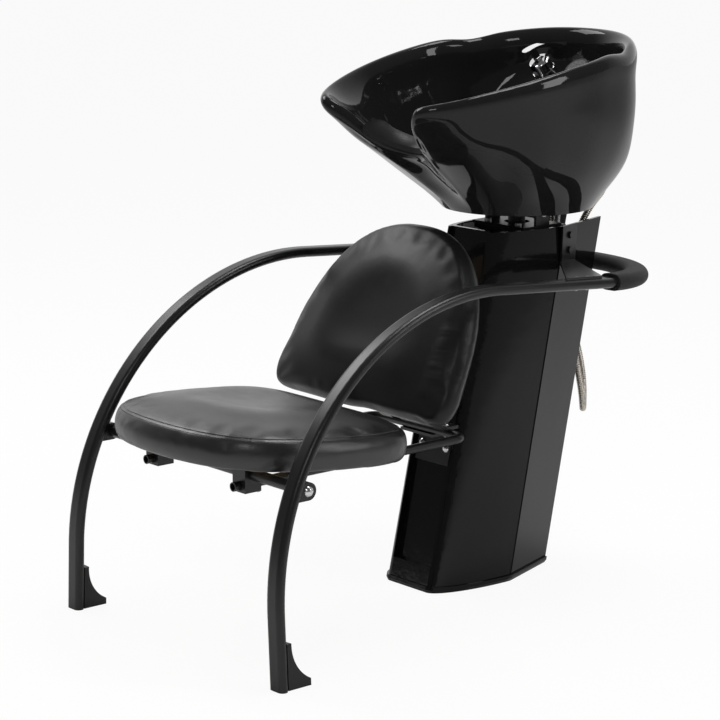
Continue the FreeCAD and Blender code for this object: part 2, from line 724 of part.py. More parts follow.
def seat_frame():
    """Seat tube: two rails and the rear bar in one bend."""
    front = [V(s * RAIL_HALF_SPAN, RAIL_FRONT_Y, RAIL_Z) for s in SIDES]
    bend_y = RAIL_REAR_Y - RAIL_BEND
    bend_x = RAIL_HALF_SPAN - RAIL_BEND
    diagonal = RAIL_BEND * math.cos(math.pi / 4)
    edges = [Part.makeLine(front[0], V(RAIL_HALF_SPAN, bend_y, RAIL_Z))]
    for side in SIDES:
        on_rail = V(side * RAIL_HALF_SPAN, bend_y, RAIL_Z)
        on_bar = V(side * bend_x, RAIL_REAR_Y, RAIL_Z)
        middle = V(side * (bend_x + diagonal), bend_y + diagonal, RAIL_Z)
        ends = (on_rail, on_bar) if side > 0 else (on_bar, on_rail)
        if side < 0:
            edges.append(Part.makeLine(edges[-1].valueAt(edges[-1].LastParameter), on_bar))
        edges.append(Part.Arc(ends[0], middle, ends[1]).toShape())
    edges.append(Part.makeLine(V(-RAIL_HALF_SPAN, bend_y, RAIL_Z), front[1]))
    path = Part.Wire(edges)
    tubes = []
    for radius in (RAIL_R, RAIL_R - RAIL_WALL):
        ring = Part.Wire([Part.Circle(front[0], Y_AXIS, radius).toShape()])
        tubes.append(path.makePipeShell([ring], True, False))
    frame = tubes[0].cut(tubes[1])
    for side in SIDES:
        base = V(side * RAIL_HALF_SPAN, SEAT_SCREW_REAR_Y, RAIL_Z - RAIL_R - OVERRUN)
        frame = frame.cut(cylinder(base, Z_AXIS, SEAT_SCREW_R + FIT, RAIL_R * 2 + OVERRUN * 2))
    return frame


def pad_outline(shares, half_width, depth, scale, centre):
    """Closed smooth outline through mirrored shares of half width and depth."""
    right = list(shares)
    left = [(-x, y) for x, y in reversed(shares) if x > 0]
    points = []
    for x, y in right + left:
        points.append(V(x * half_width * scale, (centre + (y - centre) * scale) * depth, 0))
    curve = Part.BSplineCurve()
    curve.interpolate(Points=points, PeriodicFlag=True)
    return Part.Wire([curve.toShape()])


def cushion(shares, half_width, depth, layers, crowns, boxing, crown, centre):
    """Crowned pad on its own flat base: drawn-in sides, then a domed top."""
    wires = []
    heights = [(boxing * share, scale) for share, scale in layers]
    heights += [(boxing + crown * share, scale) for share, scale in crowns]
    for height, scale in heights:
        wire = pad_outline(shares, half_width, depth, scale, centre)
        wire.translate(V(0, 0, height))
        wires.append(wire)
    return Part.makeLoft(wires, True, False)


def board(shares, half_width, depth, scale, centre, thickness):
    """Flat board with the outline of its pad, drawn in."""
    return Part.Face(pad_outline(shares, half_width, depth, scale, centre)).extrude(V(0, 0, thickness))


SEAT_CENTRE_SHARE = 0.55


def to_seat(shape):
    """Move a shape from the pad's own plane to the sloping seat."""
    shape.translate(V(0, -SEAT_FRONT, 0))
    shape.rotate(V(0, 0, 0), X_AXIS, -SEAT_SLOPE_DEG)
    shape.translate(V(0, CROSSBAR_Y, SEAT_BASE_Z))
    return shape


def seat_board():
    """Plywood under the seat pad, flush with the pad's lower edge."""
    return to_seat(
        board(
            SEAT_OUTLINE_SHARES, SEAT_HALF_WIDTH, SEAT_DEPTH, BOARD_INSET_SHARE, SEAT_CENTRE_SHARE,
            BOARD_THICKNESS
        )
    )


def seat_cushion():
    """Seat pad with a pocket for its board."""
    pad = cushion(
        SEAT_OUTLINE_SHARES, SEAT_HALF_WIDTH, SEAT_DEPTH, SEAT_LAYER_SHARES, SEAT_CROWN_SHARES,
        SEAT_BOXING, SEAT_CROWN, SEAT_CENTRE_SHARE,
    )
    margin = BOARD_INSET_SHARE + (GAP + GAP) / SEAT_HALF_WIDTH
    pocket = board(
        SEAT_OUTLINE_SHARES, SEAT_HALF_WIDTH, SEAT_DEPTH, margin, SEAT_CENTRE_SHARE,
        BOARD_THICKNESS + GAP + OVERRUN,
    )
    pocket.translate(V(0, 0, -OVERRUN))
    return to_seat(pad.cut(pocket))


def seat_screws():
    """Screws up through the clamps and the rails into the seat board."""
    screws = []
    for side in SIDES:
        low = clamp_screw_base(side)
        length = seat_plane_z(low.y) - low.z + SEAT_SCREW_BITE
        screws.append(screw(low, Z_AXIS, SEAT_SCREW_R - FIT, length, SEAT_SCREW_HEAD_R, SEAT_SCREW_HEAD))
        base = V(side * RAIL_HALF_SPAN, SEAT_SCREW_REAR_Y, RAIL_Z - RAIL_R)
        length = seat_plane_z(base.y) - base.z + SEAT_SCREW_BITE
        screws.append(screw(base, Z_AXIS, SEAT_SCREW_R - FIT, length, SEAT_SCREW_HEAD_R, SEAT_SCREW_HEAD))
    return screws


def drilled(shape, screws):
    """Shape with holes where screws enter it."""
    for piece in screws:
        shape = shape.cut(piece)
    return shape


# Backrest
BACK_LEAN = math.radians(BACK_LEAN_DEG)
BACK_UP = V(0, math.sin(BACK_LEAN), math.cos(BACK_LEAN))
BACK_OUT = V(0, math.cos(BACK_LEAN), -math.sin(BACK_LEAN))
BACK_FOOT = V(0, BACK_BOTTOM_Y, BACK_BOTTOM_Z)


def to_back(shape, out):
    """Stand a pad that faces +Z up against the backrest's plane, an offset out to the rear."""
    shape.Placement = FreeCAD.Placement(
        BACK_FOOT + BACK_OUT * out, FreeCAD.Rotation(X_AXIS, BACK_UP, BACK_OUT * -1, "ZXY"),
    )
    return shape


def backrest_cushion():
    """Backrest pad with its crown to the front."""
    pad = cushion(
        BACK_OUTLINE_SHARES, BACK_HALF_WIDTH, BACK_HEIGHT, BACK_LAYER_SHARES, BACK_CROWN_SHARES,
        BACK_THICKNESS, BACK_CROWN, BACK_CENTRE_SHARE,
    )
    return to_back(pad, BACK_THICKNESS)


def backrest_board():
    """Board behind the backrest pad."""
    plate = board(
        BACK_OUTLINE_SHARES, BACK_HALF_WIDTH, BACK_HEIGHT, BACK_BOARD_SHARE, BACK_CENTRE_SHARE,
        BACK_BOARD_THICKNESS,
    )
    return to_back(plate, BACK_THICKNESS + BACK_BOARD_THICKNESS)


def backrest_bracket(side):
    """Bent strap from the seat frame's rear bar up the back of the backrest board."""
    face = BACK_FOOT + BACK_OUT * (BACK_THICKNESS + BACK_BOARD_THICKNESS)
    knee = face + BACK_UP * BRACKET_TOE_RISE
    top = knee + BACK_UP * BRACKET_RISE
    seat_z = RAIL_Z + RAIL_R
    heel_y = RAIL_REAR_Y + BRACKET_FOOT / 2
    foot_y = RAIL_REAR_Y - BRACKET_FOOT / 2
    outer = V(0, BACK_OUT.y, BACK_OUT.z) * BRACKET_THICKNESS
    points = [
        (heel_y, seat_z), (foot_y, seat_z), (knee.y, knee.z), (top.y, top.z),
        (top.y + outer.y, top.z + outer.z), (knee.y + outer.y, knee.z + outer.z + BRACKET_THICKNESS / 2),
        (foot_y + BRACKET_THICKNESS / 2, seat_z + BRACKET_THICKNESS), (heel_y, seat_z + BRACKET_THICKNESS),
    ]
    x = side * BRACKET_X - BRACKET_WIDTH / 2
    return prism_x(points, x, x + BRACKET_WIDTH)


def backrest_screws():
    """Screws through the straps into the backrest board."""
    face = BACK_FOOT + BACK_OUT * (BACK_THICKNESS + BACK_BOARD_THICKNESS + BRACKET_THICKNESS)
    screws = []
    for side in SIDES:
        for share in BACK_SCREW_SHARES:
            base = face + BACK_UP * (BRACKET_TOE_RISE + BRACKET_RISE * share) + X_AXIS * (
                side * BRACKET_X
            )
            length = BRACKET_THICKNESS + BACK_BOARD_THICKNESS
            screws.append(
                screw(
                    base, BACK_OUT * -1, BRACKET_BOLT_R - FIT, length, BRACKET_BOLT_HEAD_R,
                    BRACKET_BOLT_HEAD
                )
            )
    return screws


def bracket_bolts():
    """Bolts through the strap feet and the rear bar."""
    bolts = []
    for side in SIDES:
        base = V(side * BRACKET_X, RAIL_REAR_Y, RAIL_Z + RAIL_R + BRACKET_THICKNESS)
        length = BRACKET_THICKNESS + RAIL_R * 2
        bolts.append(
            screw(base, Z_AXIS * -1, BRACKET_BOLT_R - FIT, length, BRACKET_BOLT_HEAD_R, BRACKET_BOLT_HEAD)
        )
    return bolts


# Pedestal
LEAN_SHARE = PEDESTAL_LEAN / PEDESTAL_HEIGHT


def lean_at(z):
    """How far the pedestal has leaned to the rear at a height."""
    return z * LEAN_SHARE


def taper_at(z):
    """Width share of the pedestal at a height."""
    return 1 - (1 - PEDESTAL_TOP_SHARE) * z / PEDESTAL_HEIGHT


def pedestal_wire(z, grow, front_grow, rear_grow):
    """Plan of the pedestal at a height: a flat front, long rounded corners, straight fins behind."""
    taper = taper_at(z)
    half = PEDESTAL_HALF_WIDTH * taper + grow
    rear_half = PEDESTAL_REAR_HALF * taper + grow
    flat = PEDESTAL_FLAT * taper
    shoulder = PEDESTAL_SHOULDER_Y
    front = PEDESTAL_FRONT - front_grow
    rear = PEDESTAL_REAR + rear_grow
    edges = [Part.makeLine(V(-flat, front, 0), V(flat, front, 0))]
    for side in SIDES:
        centre = V(side * flat, shoulder, 0)
        corner = Part.Ellipse(V(side * flat, front, 0), V(side * half, shoulder, 0), centre)
        edges.append(corner.toShape(0, math.pi / 2))
        edges.append(Part.makeLine(V(side * half, shoulder, 0), V(side * rear_half, rear, 0)))
    edges.append(Part.makeLine(V(-rear_half, rear, 0), V(rear_half, rear, 0)))
    wire = Part.Wire(Part.__sortEdges__(edges))
    wire.translate(V(0, lean_at(z), z))
    return wire


def pedestal_loft(low, high, grow, front_grow, rear_grow):
    """Solid between two heights of the pedestal's plan."""
    return Part.makeLoft(
        [
            pedestal_wire(low, grow, front_grow, rear_grow),
            pedestal_wire(high, grow, front_grow, rear_grow)
        ],
        True, True
    )


def panel_y(z):
    """Front face of the recessed panel at a height."""
    return PEDESTAL_FRONT + RECESS_DEPTH + lean_at(z)


def pedestal_shell():
    """Moulded cover: rounded front with a recessed panel, flat fins, open back."""
    body = pedestal_loft(0, PEDESTAL_HEIGHT, 0, 0, 0)
    lip = [pedestal_wire(0, 0, 0, 0), pedestal_wire(FLANGE_HEIGHT / 2, FLANGE_OUT, FLANGE_OUT, 0)]
    lip.append(pedestal_wire(FLANGE_HEIGHT, FLANGE_OUT, FLANGE_OUT, 0))
    body = body.fuse(Part.makeLoft(lip, True, True))
    top = PEDESTAL_HEIGHT + OVERRUN
    inside = pedestal_loft(-OVERRUN, top, -PEDESTAL_WALL, -PEDESTAL_FRONT_WALL, -PEDESTAL_WALL)
    mouth_half = PEDESTAL_REAR_HALF * PEDESTAL_TOP_SHARE - FIN_RETURN
    mouth = prism_x(
        [(PEDESTAL_REAR / 2 + lean_at(-OVERRUN), -OVERRUN), (PEDESTAL_REAR + PEDESTAL_LEAN, -OVERRUN),
         (PEDESTAL_REAR + PEDESTAL_LEAN, top), (PEDESTAL_REAR / 2 + lean_at(top), top)],
        -mouth_half, mouth_half,
    )
    far = PEDESTAL_FRONT - PEDESTAL_LEAN
    recess = prism_x(
        [
            (panel_y(RECESS_BOTTOM), RECESS_BOTTOM), (far, RECESS_BOTTOM - LEDGE_DROP), (far, top),
            (panel_y(top), top)
        ],
        -RECESS_HALF_WIDTH, RECESS_HALF_WIDTH,
    )
    body = body.cut(inside).cut(mouth).cut(recess)
    for side in SIDES:
        foot_point = V(side * fin_x(GROOVE_Y, 0), GROOVE_Y, FLANGE_HEIGHT)
        head_point = V(side * fin_x(GROOVE_Y, PEDESTAL_HEIGHT), GROOVE_Y + PEDESTAL_LEAN, top)
        run = head_point - foot_point
        body = body.cut(cylinder(foot_point, run, GROOVE_R, run.Length))
    return body.removeSplitter()


def fin_x(y, z):
    """Outer face of a fin at a plan place y, counted before the lean."""
    share = (y - PEDESTAL_SHOULDER_Y) / (PEDESTAL_REAR - PEDESTAL_SHOULDER_Y)
    return (PEDESTAL_HALF_WIDTH + (PEDESTAL_REAR_HALF - PEDESTAL_HALF_WIDTH) * share) * taper_at(z)


def base_plate():
    """Steel floor plate with four bolt holes."""
    plate = box(
        V(-BASE_HALF_WIDTH, -BASE_HALF_DEPTH, 0), V(BASE_HALF_WIDTH, BASE_HALF_DEPTH, BASE_THICKNESS)
    )
    for side in SIDES:
        for end in SIDES:
            centre = V(side * FLOOR_BOLT_X / 2, end * FLOOR_BOLT_Y / 2, -OVERRUN)
            plate = plate.cut(cylinder(centre, Z_AXIS, FLOOR_HOLE_R, BASE_THICKNESS + OVERRUN * 2))
    return plate


def square_wire(x, y, z, size):
    """Square across a post at a height."""
    half = size / 2
    corners = [V(x + a * half, y + b * half, z) for a, b in ((1, 1), (-1, 1), (-1, -1), (1, -1))]
    return Part.makePolygon(corners + corners[:1])


POST_TOP = PEDESTAL_HEIGHT - TOP_PLATE_DROP - TOP_PLATE_THICKNESS


def post_y(z):
    """Centre of a post at a height."""
    return POST_FOOT_Y + (POST_HEAD_Y - POST_FOOT_Y) * (z - BASE_THICKNESS) / (POST_TOP - BASE_THICKNESS)


def post(side):
    """Leaning square tube between the floor plate and the top plate."""
    tubes = []
    for size in (POST_SIZE, POST_SIZE - POST_WALL * 2):
        wires = [square_wire(side * POST_X, post_y(z), z, size) for z in (BASE_THICKNESS, POST_TOP)]
        tubes.append(Part.makeLoft(wires, True, True))
    return tubes[0].cut(tubes[1])


def top_plate():
    """Steel plate that carries the tilt bracket, with a hole for the waste."""
    plate = box(
        V(-TOP_PLATE_HALF_WIDTH, TOP_PLATE_FRONT, POST_TOP),
        V(TOP_PLATE_HALF_WIDTH, TOP_PLATE_REAR, POST_TOP + TOP_PLATE_THICKNESS),
    )
    plate = plate.cut(
        cylinder(V(0, DRUM_Y, POST_TOP - OVERRUN), Z_AXIS, WASTE_HOSE_R + WASTE_CLEAR, OVERRUN * 4)
    )
    return drilled(plate, tilt_base_bolts())


def cross_plate():
    """Channel across the posts that the seat stay is bolted to."""
    heights = (STAY_BOLT_Z - CROSS_HEIGHT / 2, STAY_BOLT_Z + CROSS_HEIGHT / 2)
    front = [(panel_back_y(z), z) for z in heights]
    face = [(panel_back_y(z) + CROSS_THICKNESS, z) for z in reversed(heights)]
    back = [(post_y(z) - POST_SIZE / 2, z) for z in reversed(heights)]
    body = prism_x(front + face, -CROSS_HALF_WIDTH, CROSS_HALF_WIDTH)
    for side in SIDES:
        low_x = side * POST_X - CROSS_WEB / 2
        body = body.fuse(prism_x(front + back, low_x, low_x + CROSS_WEB))
    return drilled(body.removeSplitter(), stay_bolts())


def panel_back_y(z):
    """Inner face of the front panel at a height."""
    return PEDESTAL_FRONT + PEDESTAL_FRONT_WALL + lean_at(z)


def seat_stay():
    """Bent plate from the recessed panel to the seat frame's rear bar."""
    low = STAY_BOLT_Z - STAY_HEIGHT / 2
    bar_low = RAIL_Z - RAIL_R
    points = [
        (panel_y(low), low), (panel_y(bar_low), bar_low), (RAIL_REAR_Y - RAIL_R, bar_low),
        (RAIL_REAR_Y - RAIL_R, bar_low - STAY_THICKNESS),
        (panel_y(bar_low) - STAY_THICKNESS, bar_low - STAY_THICKNESS),
        (panel_y(low) - STAY_THICKNESS, low),
    ]
    return drilled(prism_x(points, -STAY_HALF_WIDTH, STAY_HALF_WIDTH), stay_bolts())


def stay_bolts():
    """Bright domed bolts that hold the stay to the panel and the cross plate."""
    inward = V(0, math.cos(math.atan(LEAN_SHARE)), -math.sin(math.atan(LEAN_SHARE)))
    length = STAY_THICKNESS + PEDESTAL_FRONT_WALL - RECESS_DEPTH + CROSS_THICKNESS + STAY_BOLT_END
    bolts = []
    for side in SIDES:
        base = V(side * STAY_BOLT_X, panel_y(STAY_BOLT_Z) - STAY_THICKNESS, STAY_BOLT_Z)
        bolts.append(screw(base, inward, STAY_BOLT_R, length, STAY_DOME_R, STAY_DOME_HEIGHT))
    return bolts


# Arm brackets
TAB_LIFT = TUBE_DEPTH / 2 / math.cos(ARM_DROP)


def tab_z(y):
    """Underside of a bracket tab, which follows the top of the arm tube."""
    return arm_top_z(y) + TAB_LIFT


def fin_place(side, y, z, out):
    """Point on a fin's outer face at a real place y, lifted off by a distance."""
    return V(side * (fin_x(y - lean_at(z), z) + out), y, z)


def fin_normal(side):
    """Outward direction of a fin's face, in plan."""
    depth = PEDESTAL_REAR - PEDESTAL_SHOULDER_Y
    inset = PEDESTAL_HALF_WIDTH - PEDESTAL_REAR_HALF
    return V(side * depth, inset, 0).normalize()


def arm_bracket(side):
    """Plate on the fin with a slanting tab out to the top of the arm tube."""
    ends = [PLATE_CENTRE_Y - PLATE_WIDTH / 2, PLATE_CENTRE_Y + PLATE_WIDTH / 2]
    low = plate_low()
    wires = []
    for z in (low, low + PLATE_HEIGHT):
        near = [fin_place(side, y, z, GAP) for y in ends]
        far = [fin_place(side, y, z, PLATE_THICKNESS + GAP) for y in reversed(ends)]
        wires.append(Part.makePolygon(near + far + near[:1]))
    plate = Part.makeLoft(wires, True, True)
    lift = low - tab_z(ends[1])
    root = [fin_place(side, y, tab_z(y) + lift, GAP) for y in ends]
    arm = arm_x(tab_z(0))
    tips = [TAB_CENTRE_Y - TAB_WIDTH / 2, TAB_CENTRE_Y + TAB_WIDTH / 2]
    tip = [V(side * (arm + TUBE_WIDTH / 4), y, tab_z(y)) for y in tips]
    knee = [tab_point(a, b, side * (arm - TUBE_WIDTH / 2 - GAP)) for a, b in zip(root, tip)]
    tab = Part.makeLoft([tab_section(points) for points in (root, knee, tip)], True, True)
    return drilled(plate.fuse(tab).removeSplitter(), plate_bolts(side) + tab_screws(side))


def plate_low():
    """Lower edge of a bracket plate, a set drop below the pedestal's top."""
    return PEDESTAL_HEIGHT - PLATE_DROP


def tab_point(root, tip, x):
    """Point above the arm tube on a tab's edge, at a distance from the middle plane."""
    y = tip.y + (root.y - tip.y) * (x - tip.x) / (root.x - tip.x)
    return V(x, y, tab_z(y))


def tab_section(points):
    """Upright outline across a tab."""
    rise = V(0, 0, PLATE_THICKNESS)
    first, last = points
    return Part.makePolygon([first, last, last + rise, first + rise, first])


def plate_bolts(side):
    """Bolts through a bracket plate into the fin."""
    low = plate_low()
    bolts = []
    for share in PLATE_BOLT_SHARES:
        base = fin_place(side, PLATE_CENTRE_Y, low + PLATE_HEIGHT * share, PLATE_THICKNESS + GAP)
        length = PLATE_THICKNESS + PEDESTAL_WALL + PLATE_BOLT_END
        bolts.append(
            hex_bolt(
                base, fin_normal(side) * -1, PLATE_BOLT_R, length, PLATE_BOLT_HEAD_R, PLATE_BOLT_HEAD
            )
        )
    return bolts


def tab_screws(side):
    """Screws up through the arm tube into a bracket tab."""
    screws = []
    for end in SIDES:
        y = TAB_CENTRE_Y + end * TAB_SCREW_SPACING / 2
        low = arm_top_z(y) - TAB_LIFT
        base = V(side * arm_x(low), y, low)
        length = TUBE_DEPTH + PLATE_THICKNESS
        screws.append(screw(base, ARM_UP, TAB_SCREW_R, length, TAB_SCREW_HEAD_R, TAB_SCREW_HEAD))
    return screws


# Basin
def mixed(first, second, share):
    """Blend of two numbers or of two nested rows."""
    if isinstance(first, tuple):
        return tuple(mixed(a, b, share) for a, b in zip(first, second))
    return first + (second - first) * share


def blended(rows, angle):
    """Table row at an angle, eased between its neighbours."""
    for (low, first), (high, second) in zip(rows, rows[1:]):
        if low <= angle <= high:
            share = (angle - low) / (high - low)
            return mixed(first, second, share * share * (3 - share - share))
    return rows[-1][1]


FLOOR_Z = DRUM_Z + FLOOR_RISE


def basin_section(angle, rim_r, rim_z):
    """Radius and height pairs of the wall: drain, bowl, rim roll, outer wall, foot."""
    inner_r = rim_r - RIM_ROLL * 2
    wall_top = rim_z - RIM_ROLL
    section = [(DRAIN_RING_R, FLOOR_Z)]
    for out, depth in reversed(blended(BOWL_SHARES, angle)):
        section.append((inner_r * out, FLOOR_Z + (wall_top - FLOOR_Z) * (1 - depth)))
    section.append((rim_r - RIM_ROLL, rim_z))
    outs = blended(WALL_OUT_SHARES, angle)
    for up, out in reversed(list(zip(WALL_HEIGHT_SHARES, outs))):
        section.append((DRUM_R + (rim_r - DRUM_R) * out, DRUM_Z + (wall_top - DRUM_Z) * up))
    return section


def smooth(points, closed):
    """Curve through points."""
    curve = Part.BSplineCurve()
    curve.interpolate(Points=points, PeriodicFlag=closed)
    return curve


def rim_points():
    """Even steps round the rim, from the front keel round to the front keel."""
    half = []
    for angle, reach, rise in RIM_SHARES:
        turn = math.radians(angle)
        radius = BASIN_REACH * reach
        half.append(V(radius * math.sin(turn), -radius * math.cos(turn), DRUM_Z + BASIN_RISE * rise))
    mirrored = [V(-point.x, point.y, point.z) for point in reversed(half[1:-1])]
    return smooth(half + mirrored, True).toShape().discretize(BASIN_COLUMNS + 1)


def basin_column(rim):
    """Even steps along one section of the basin, from the drain over the rim to the foot."""
    radius = math.hypot(rim.x, rim.y)
    across, along = rim.x / radius, rim.y / radius
    angle = math.degrees(math.atan2(abs(rim.x), -rim.y))
    section = [V(r, 0, z) for r, z in basin_section(angle, radius, rim.z)]
    steps = smooth(section, False).toShape().discretize(SECTION_POINTS)
    return [V(step.x * across, DRUM_Y + step.x * along, step.z) for step in steps]


def basin_body():
    """Closed bowl: one smooth skin over the sections, with flat discs at drain and foot."""
    columns = [basin_column(rim) for rim in rim_points()[:-1]]
    around = len(columns)
    along = SECTION_POINTS - 2
    ends = [4] + [1] * (along - 2) + [4]
    surface = Part.BSplineSurface()
    surface.buildFromPolesMultsKnots(
        columns, [1] * (around + 1), ends, list(range(around + 1)), list(range(along)), True, False, 3, 3,
    )
    low, high = surface.bounds()[2:]
    faces = [surface.toShape()]
    for end in (low, high):
        faces.append(Part.Face(Part.Wire([surface.vIso(end).toShape()])))
    shell = Part.makeShell(faces)
    shell.sewShape()
    solid = Part.makeSolid(shell)
    if solid.Volume < 0:
        solid.reverse()
    return solid


def deck_points():
    """Outer and inner edge of the tap deck in the middle plane, as (y, z)."""
    angle, reach, rise = RIM_SHARES[-1]
    inner_r = BASIN_REACH * reach - RIM_ROLL * 2
    drop = DRUM_Z + BASIN_RISE * rise - RIM_ROLL - FLOOR_Z
    row = blended(BOWL_SHARES, angle)
    return [(DRUM_Y + inner_r * out, FLOOR_Z + drop * (1 - depth)) for out, depth in (row[2], row[3])]


DECK_OUTER, DECK_INNER = deck_points()
DECK_SLOPE = math.atan2(DECK_OUTER[1] - DECK_INNER[1], DECK_OUTER[0] - DECK_INNER[0])
DECK_AXIS = V(0, -math.sin(DECK_SLOPE), math.cos(DECK_SLOPE))
DECK_BACK = V(0, math.cos(DECK_SLOPE), math.sin(DECK_SLOPE))
DECK_MIDDLE = V(0, (DECK_OUTER[0] + DECK_INNER[0]) / 2, (DECK_OUTER[1] + DECK_INNER[1]) / 2)


def deck_seat(x, lift):
    """Point above the deck at a distance along its axis."""
    return DECK_MIDDLE + X_AXIS * x + DECK_AXIS * lift


def basin_pocket():
    """Hollow behind the bowl and under the deck, open below."""
    under = DECK_WALL / math.cos(DECK_SLOPE)
    rear = DRUM_Y + BASIN_REACH * RIM_SHARES[-1][1] - DECK_WALL
    front = DECK_INNER[0] - DECK_WALL
    low = DRUM_Z - OVERRUN
    skirt = DRUM_Z + SKIRT_RISE
    rise = math.tan(DECK_SLOPE)
    points = [
        (rear + SKIRT_REACH, low), (rear + SKIRT_REACH, skirt), (rear, skirt),
        (rear, DECK_INNER[1] - under + (rear - DECK_INNER[0]) * rise - POCKET_EASE),
        (DECK_INNER[0] + DECK_WALL, DECK_INNER[1] - under),
        (front, DECK_INNER[1] - under - POCKET_EASE * 2), (front, low),
    ]
    return prism_x(points, -POCKET_HALF_WIDTH, POCKET_HALF_WIDTH)


def basin():
    """Glazed basin with its bosses, holes and hollows."""
    body = basin_body()
    hollow = cylinder(V(0, DRUM_Y, DRUM_Z - OVERRUN), Z_AXIS, DRUM_R - DRUM_WALL, DRUM_HOLLOW + OVERRUN)
    body = body.cut(hollow).cut(basin_pocket())
    body = body.cut(cylinder(V(0, DRUM_Y, DRUM_Z), Z_AXIS, DRAIN_HOLE_R, BASIN_RISE))
    for x in (TAP_X, SHOWER_X):
        body = body.fuse(cylinder(deck_seat(x, -DECK_WALL), DECK_AXIS, BOSS_R, DECK_WALL + BOSS_LIFT))
    fittings = (
        (TAP_X, TAP_SHANK_R, TAP_NUT_R, TAP_BASE_R),
        (SHOWER_X, GUIDE_R, GUIDE_NUT_R, GUIDE_FLANGE_R),
    )
    for x, hole_r, nut_r, seat_r in fittings:
        body = body.cut(cylinder(deck_seat(x, -DECK_WALL), DECK_AXIS, hole_r + FIT, DECK_WALL + BOSS_R))
        body = body.cut(
            cylinder(deck_seat(x, -DECK_WALL), DECK_AXIS * -1, nut_r + SPOT_EASE, DECK_WALL * 2)
        )
        body = body.cut(cylinder(deck_seat(x, BOSS_LIFT), DECK_AXIS, seat_r + GAP, BOSS_R))
    return drilled(body, cradle_bolts())


def neck_section(angle, rim_r, rim_z, side):
    """Arched band across the rim at one angle: top and underside of the neck rest."""
    turn = math.radians(angle)
    lift = rim_z + GAP
    inside = rim_r - RIM_ROLL - NECK_INSIDE
    crest = rim_r - RIM_ROLL
    outside = rim_r - RIM_ROLL + NECK_OUTSIDE
    low = [(inside, lift - NECK_DROP), (crest, lift), (outside, lift - NECK_DROP / 2)]
    high = [
        (outside, lift + NECK_THICKNESS - NECK_DROP / 2), (crest, lift + NECK_THICKNESS),
        (inside, lift + NECK_THICKNESS / 2 - NECK_DROP)
    ]

    def place(pair):
        return V(side * pair[0] * math.sin(turn), DRUM_Y - pair[0] * math.cos(turn), pair[1])

    low = [place(pair) for pair in low]
    high = [place(pair) for pair in high]
    edges = [
        Part.Arc(low[0], low[1], low[2]).toShape(), Part.makeLine(low[2], high[0]),
        Part.Arc(high[0], high[1], high[2]).toShape(), Part.makeLine(high[2], low[0]),
    ]
    return Part.Wire(edges)


def neck_rest():
    """Soft saddle over the cut-out of the rim."""
    rows = [row for row in RIM_SHARES if row[0] <= NECK_HALF_ANGLE_DEG]
    places = [(row, -1) for row in reversed(rows)] + [(row, 1) for row in rows[1:]]
    wires = [
        neck_section(row[0], BASIN_REACH * row[1], DRUM_Z + BASIN_RISE * row[2], side)
        for row, side in places
    ]
    bed = basin_body()
    bed.translate(Z_AXIS * GAP)
    return Part.makeLoft(wires, True, False).cut(bed)


# Drain
def drain_flange():
    """Bright ring on the bowl's floor."""
    base = V(0, DRUM_Y, FLOOR_Z)
    ring = cylinder(base, Z_AXIS, FLANGE_R, FLANGE_THICKNESS)
    return ring.cut(cylinder(base, Z_AXIS, DRAIN_HOLE_R - DRAIN_WALL, FLANGE_THICKNESS))


def drain_body():
    """Waste fitting through the floor, narrowing to the hose."""
    outer_r = DRAIN_HOLE_R - FIT
    steps = [
        (0, FLOOR_Z), (outer_r, FLOOR_Z), (outer_r, FLOOR_Z - DRAIN_STRAIGHT),
        (WASTE_HOSE_R, FLOOR_Z - DRAIN_STRAIGHT - DRAIN_CONE), (WASTE_HOSE_R, FLOOR_Z - DRAIN_TAIL),
        (0, FLOOR_Z - DRAIN_TAIL),
    ]
    solids = []
    for wall in (0, DRAIN_WALL):
        points = [V(max(r - wall, 0), 0, z) for r, z in steps]
        shape = Part.Face(Part.makePolygon(points + points[:1])).revolve(V(0, 0, 0), Z_AXIS, 360)
        shape.translate(V(0, DRUM_Y, 0))
        solids.append(shape)
    return solids[0].cut(solids[1])


def strainer():
    """Lift-out strainer: a pierced cap over a short cup."""
    base = V(0, DRUM_Y, FLOOR_Z + FLANGE_THICKNESS)
    body = cylinder(base, Z_AXIS, STRAINER_R, STRAINER_HEIGHT)
    body = body.fuse(cylinder(base - Z_AXIS * STRAINER_CUP, Z_AXIS, STRAINER_CUP_R, STRAINER_CUP))
    inner_r = STRAINER_CUP_R - DRAIN_WALL
    body = body.cut(cylinder(base - Z_AXIS * STRAINER_CUP, Z_AXIS, inner_r, STRAINER_CUP))
    for step in range(STRAINER_HOLES):
        turn = math.radians(360 * step / STRAINER_HOLES)
        centre = base + V(math.cos(turn), math.sin(turn), 0) * (inner_r * STRAINER_RING_SHARE)
        body = body.cut(cylinder(centre, Z_AXIS, STRAINER_HOLE_R, STRAINER_HEIGHT))
    return body.cut(cylinder(base, Z_AXIS, STRAINER_HOLE_R, STRAINER_HEIGHT))


# Tilt mechanism
BRACKET_TOP = POST_TOP + TOP_PLATE_THICKNESS + BRACKET_PLATE
CRADLE_TOP = DRUM_Z + DRUM_HOLLOW
CRADLE_EAR_X = BASE_EAR_X - EAR_THICKNESS - GAP


def ear(low_x, root_z, bore):
    """Rounded ear round the hinge line, from a root height."""
    middle = V(low_x, DRUM_Y, HINGE_Z)
    low, high = sorted((root_z, HINGE_Z))
    body = box(
        V(low_x, DRUM_Y - EAR_HALF_DEPTH, low), V(low_x + EAR_THICKNESS, DRUM_Y + EAR_HALF_DEPTH, high)
    )
    body = body.fuse(cylinder(middle, X_AXIS, EAR_HALF_DEPTH, EAR_THICKNESS))
    return body.cut(cylinder(middle - X_AXIS * OVERRUN, X_AXIS, bore, EAR_THICKNESS + OVERRUN * 2))


def ear_low_x(side, inner):
    """Low X of an ear whose inner face is at a distance from the middle."""
    return inner if side > 0 else -inner - EAR_THICKNESS


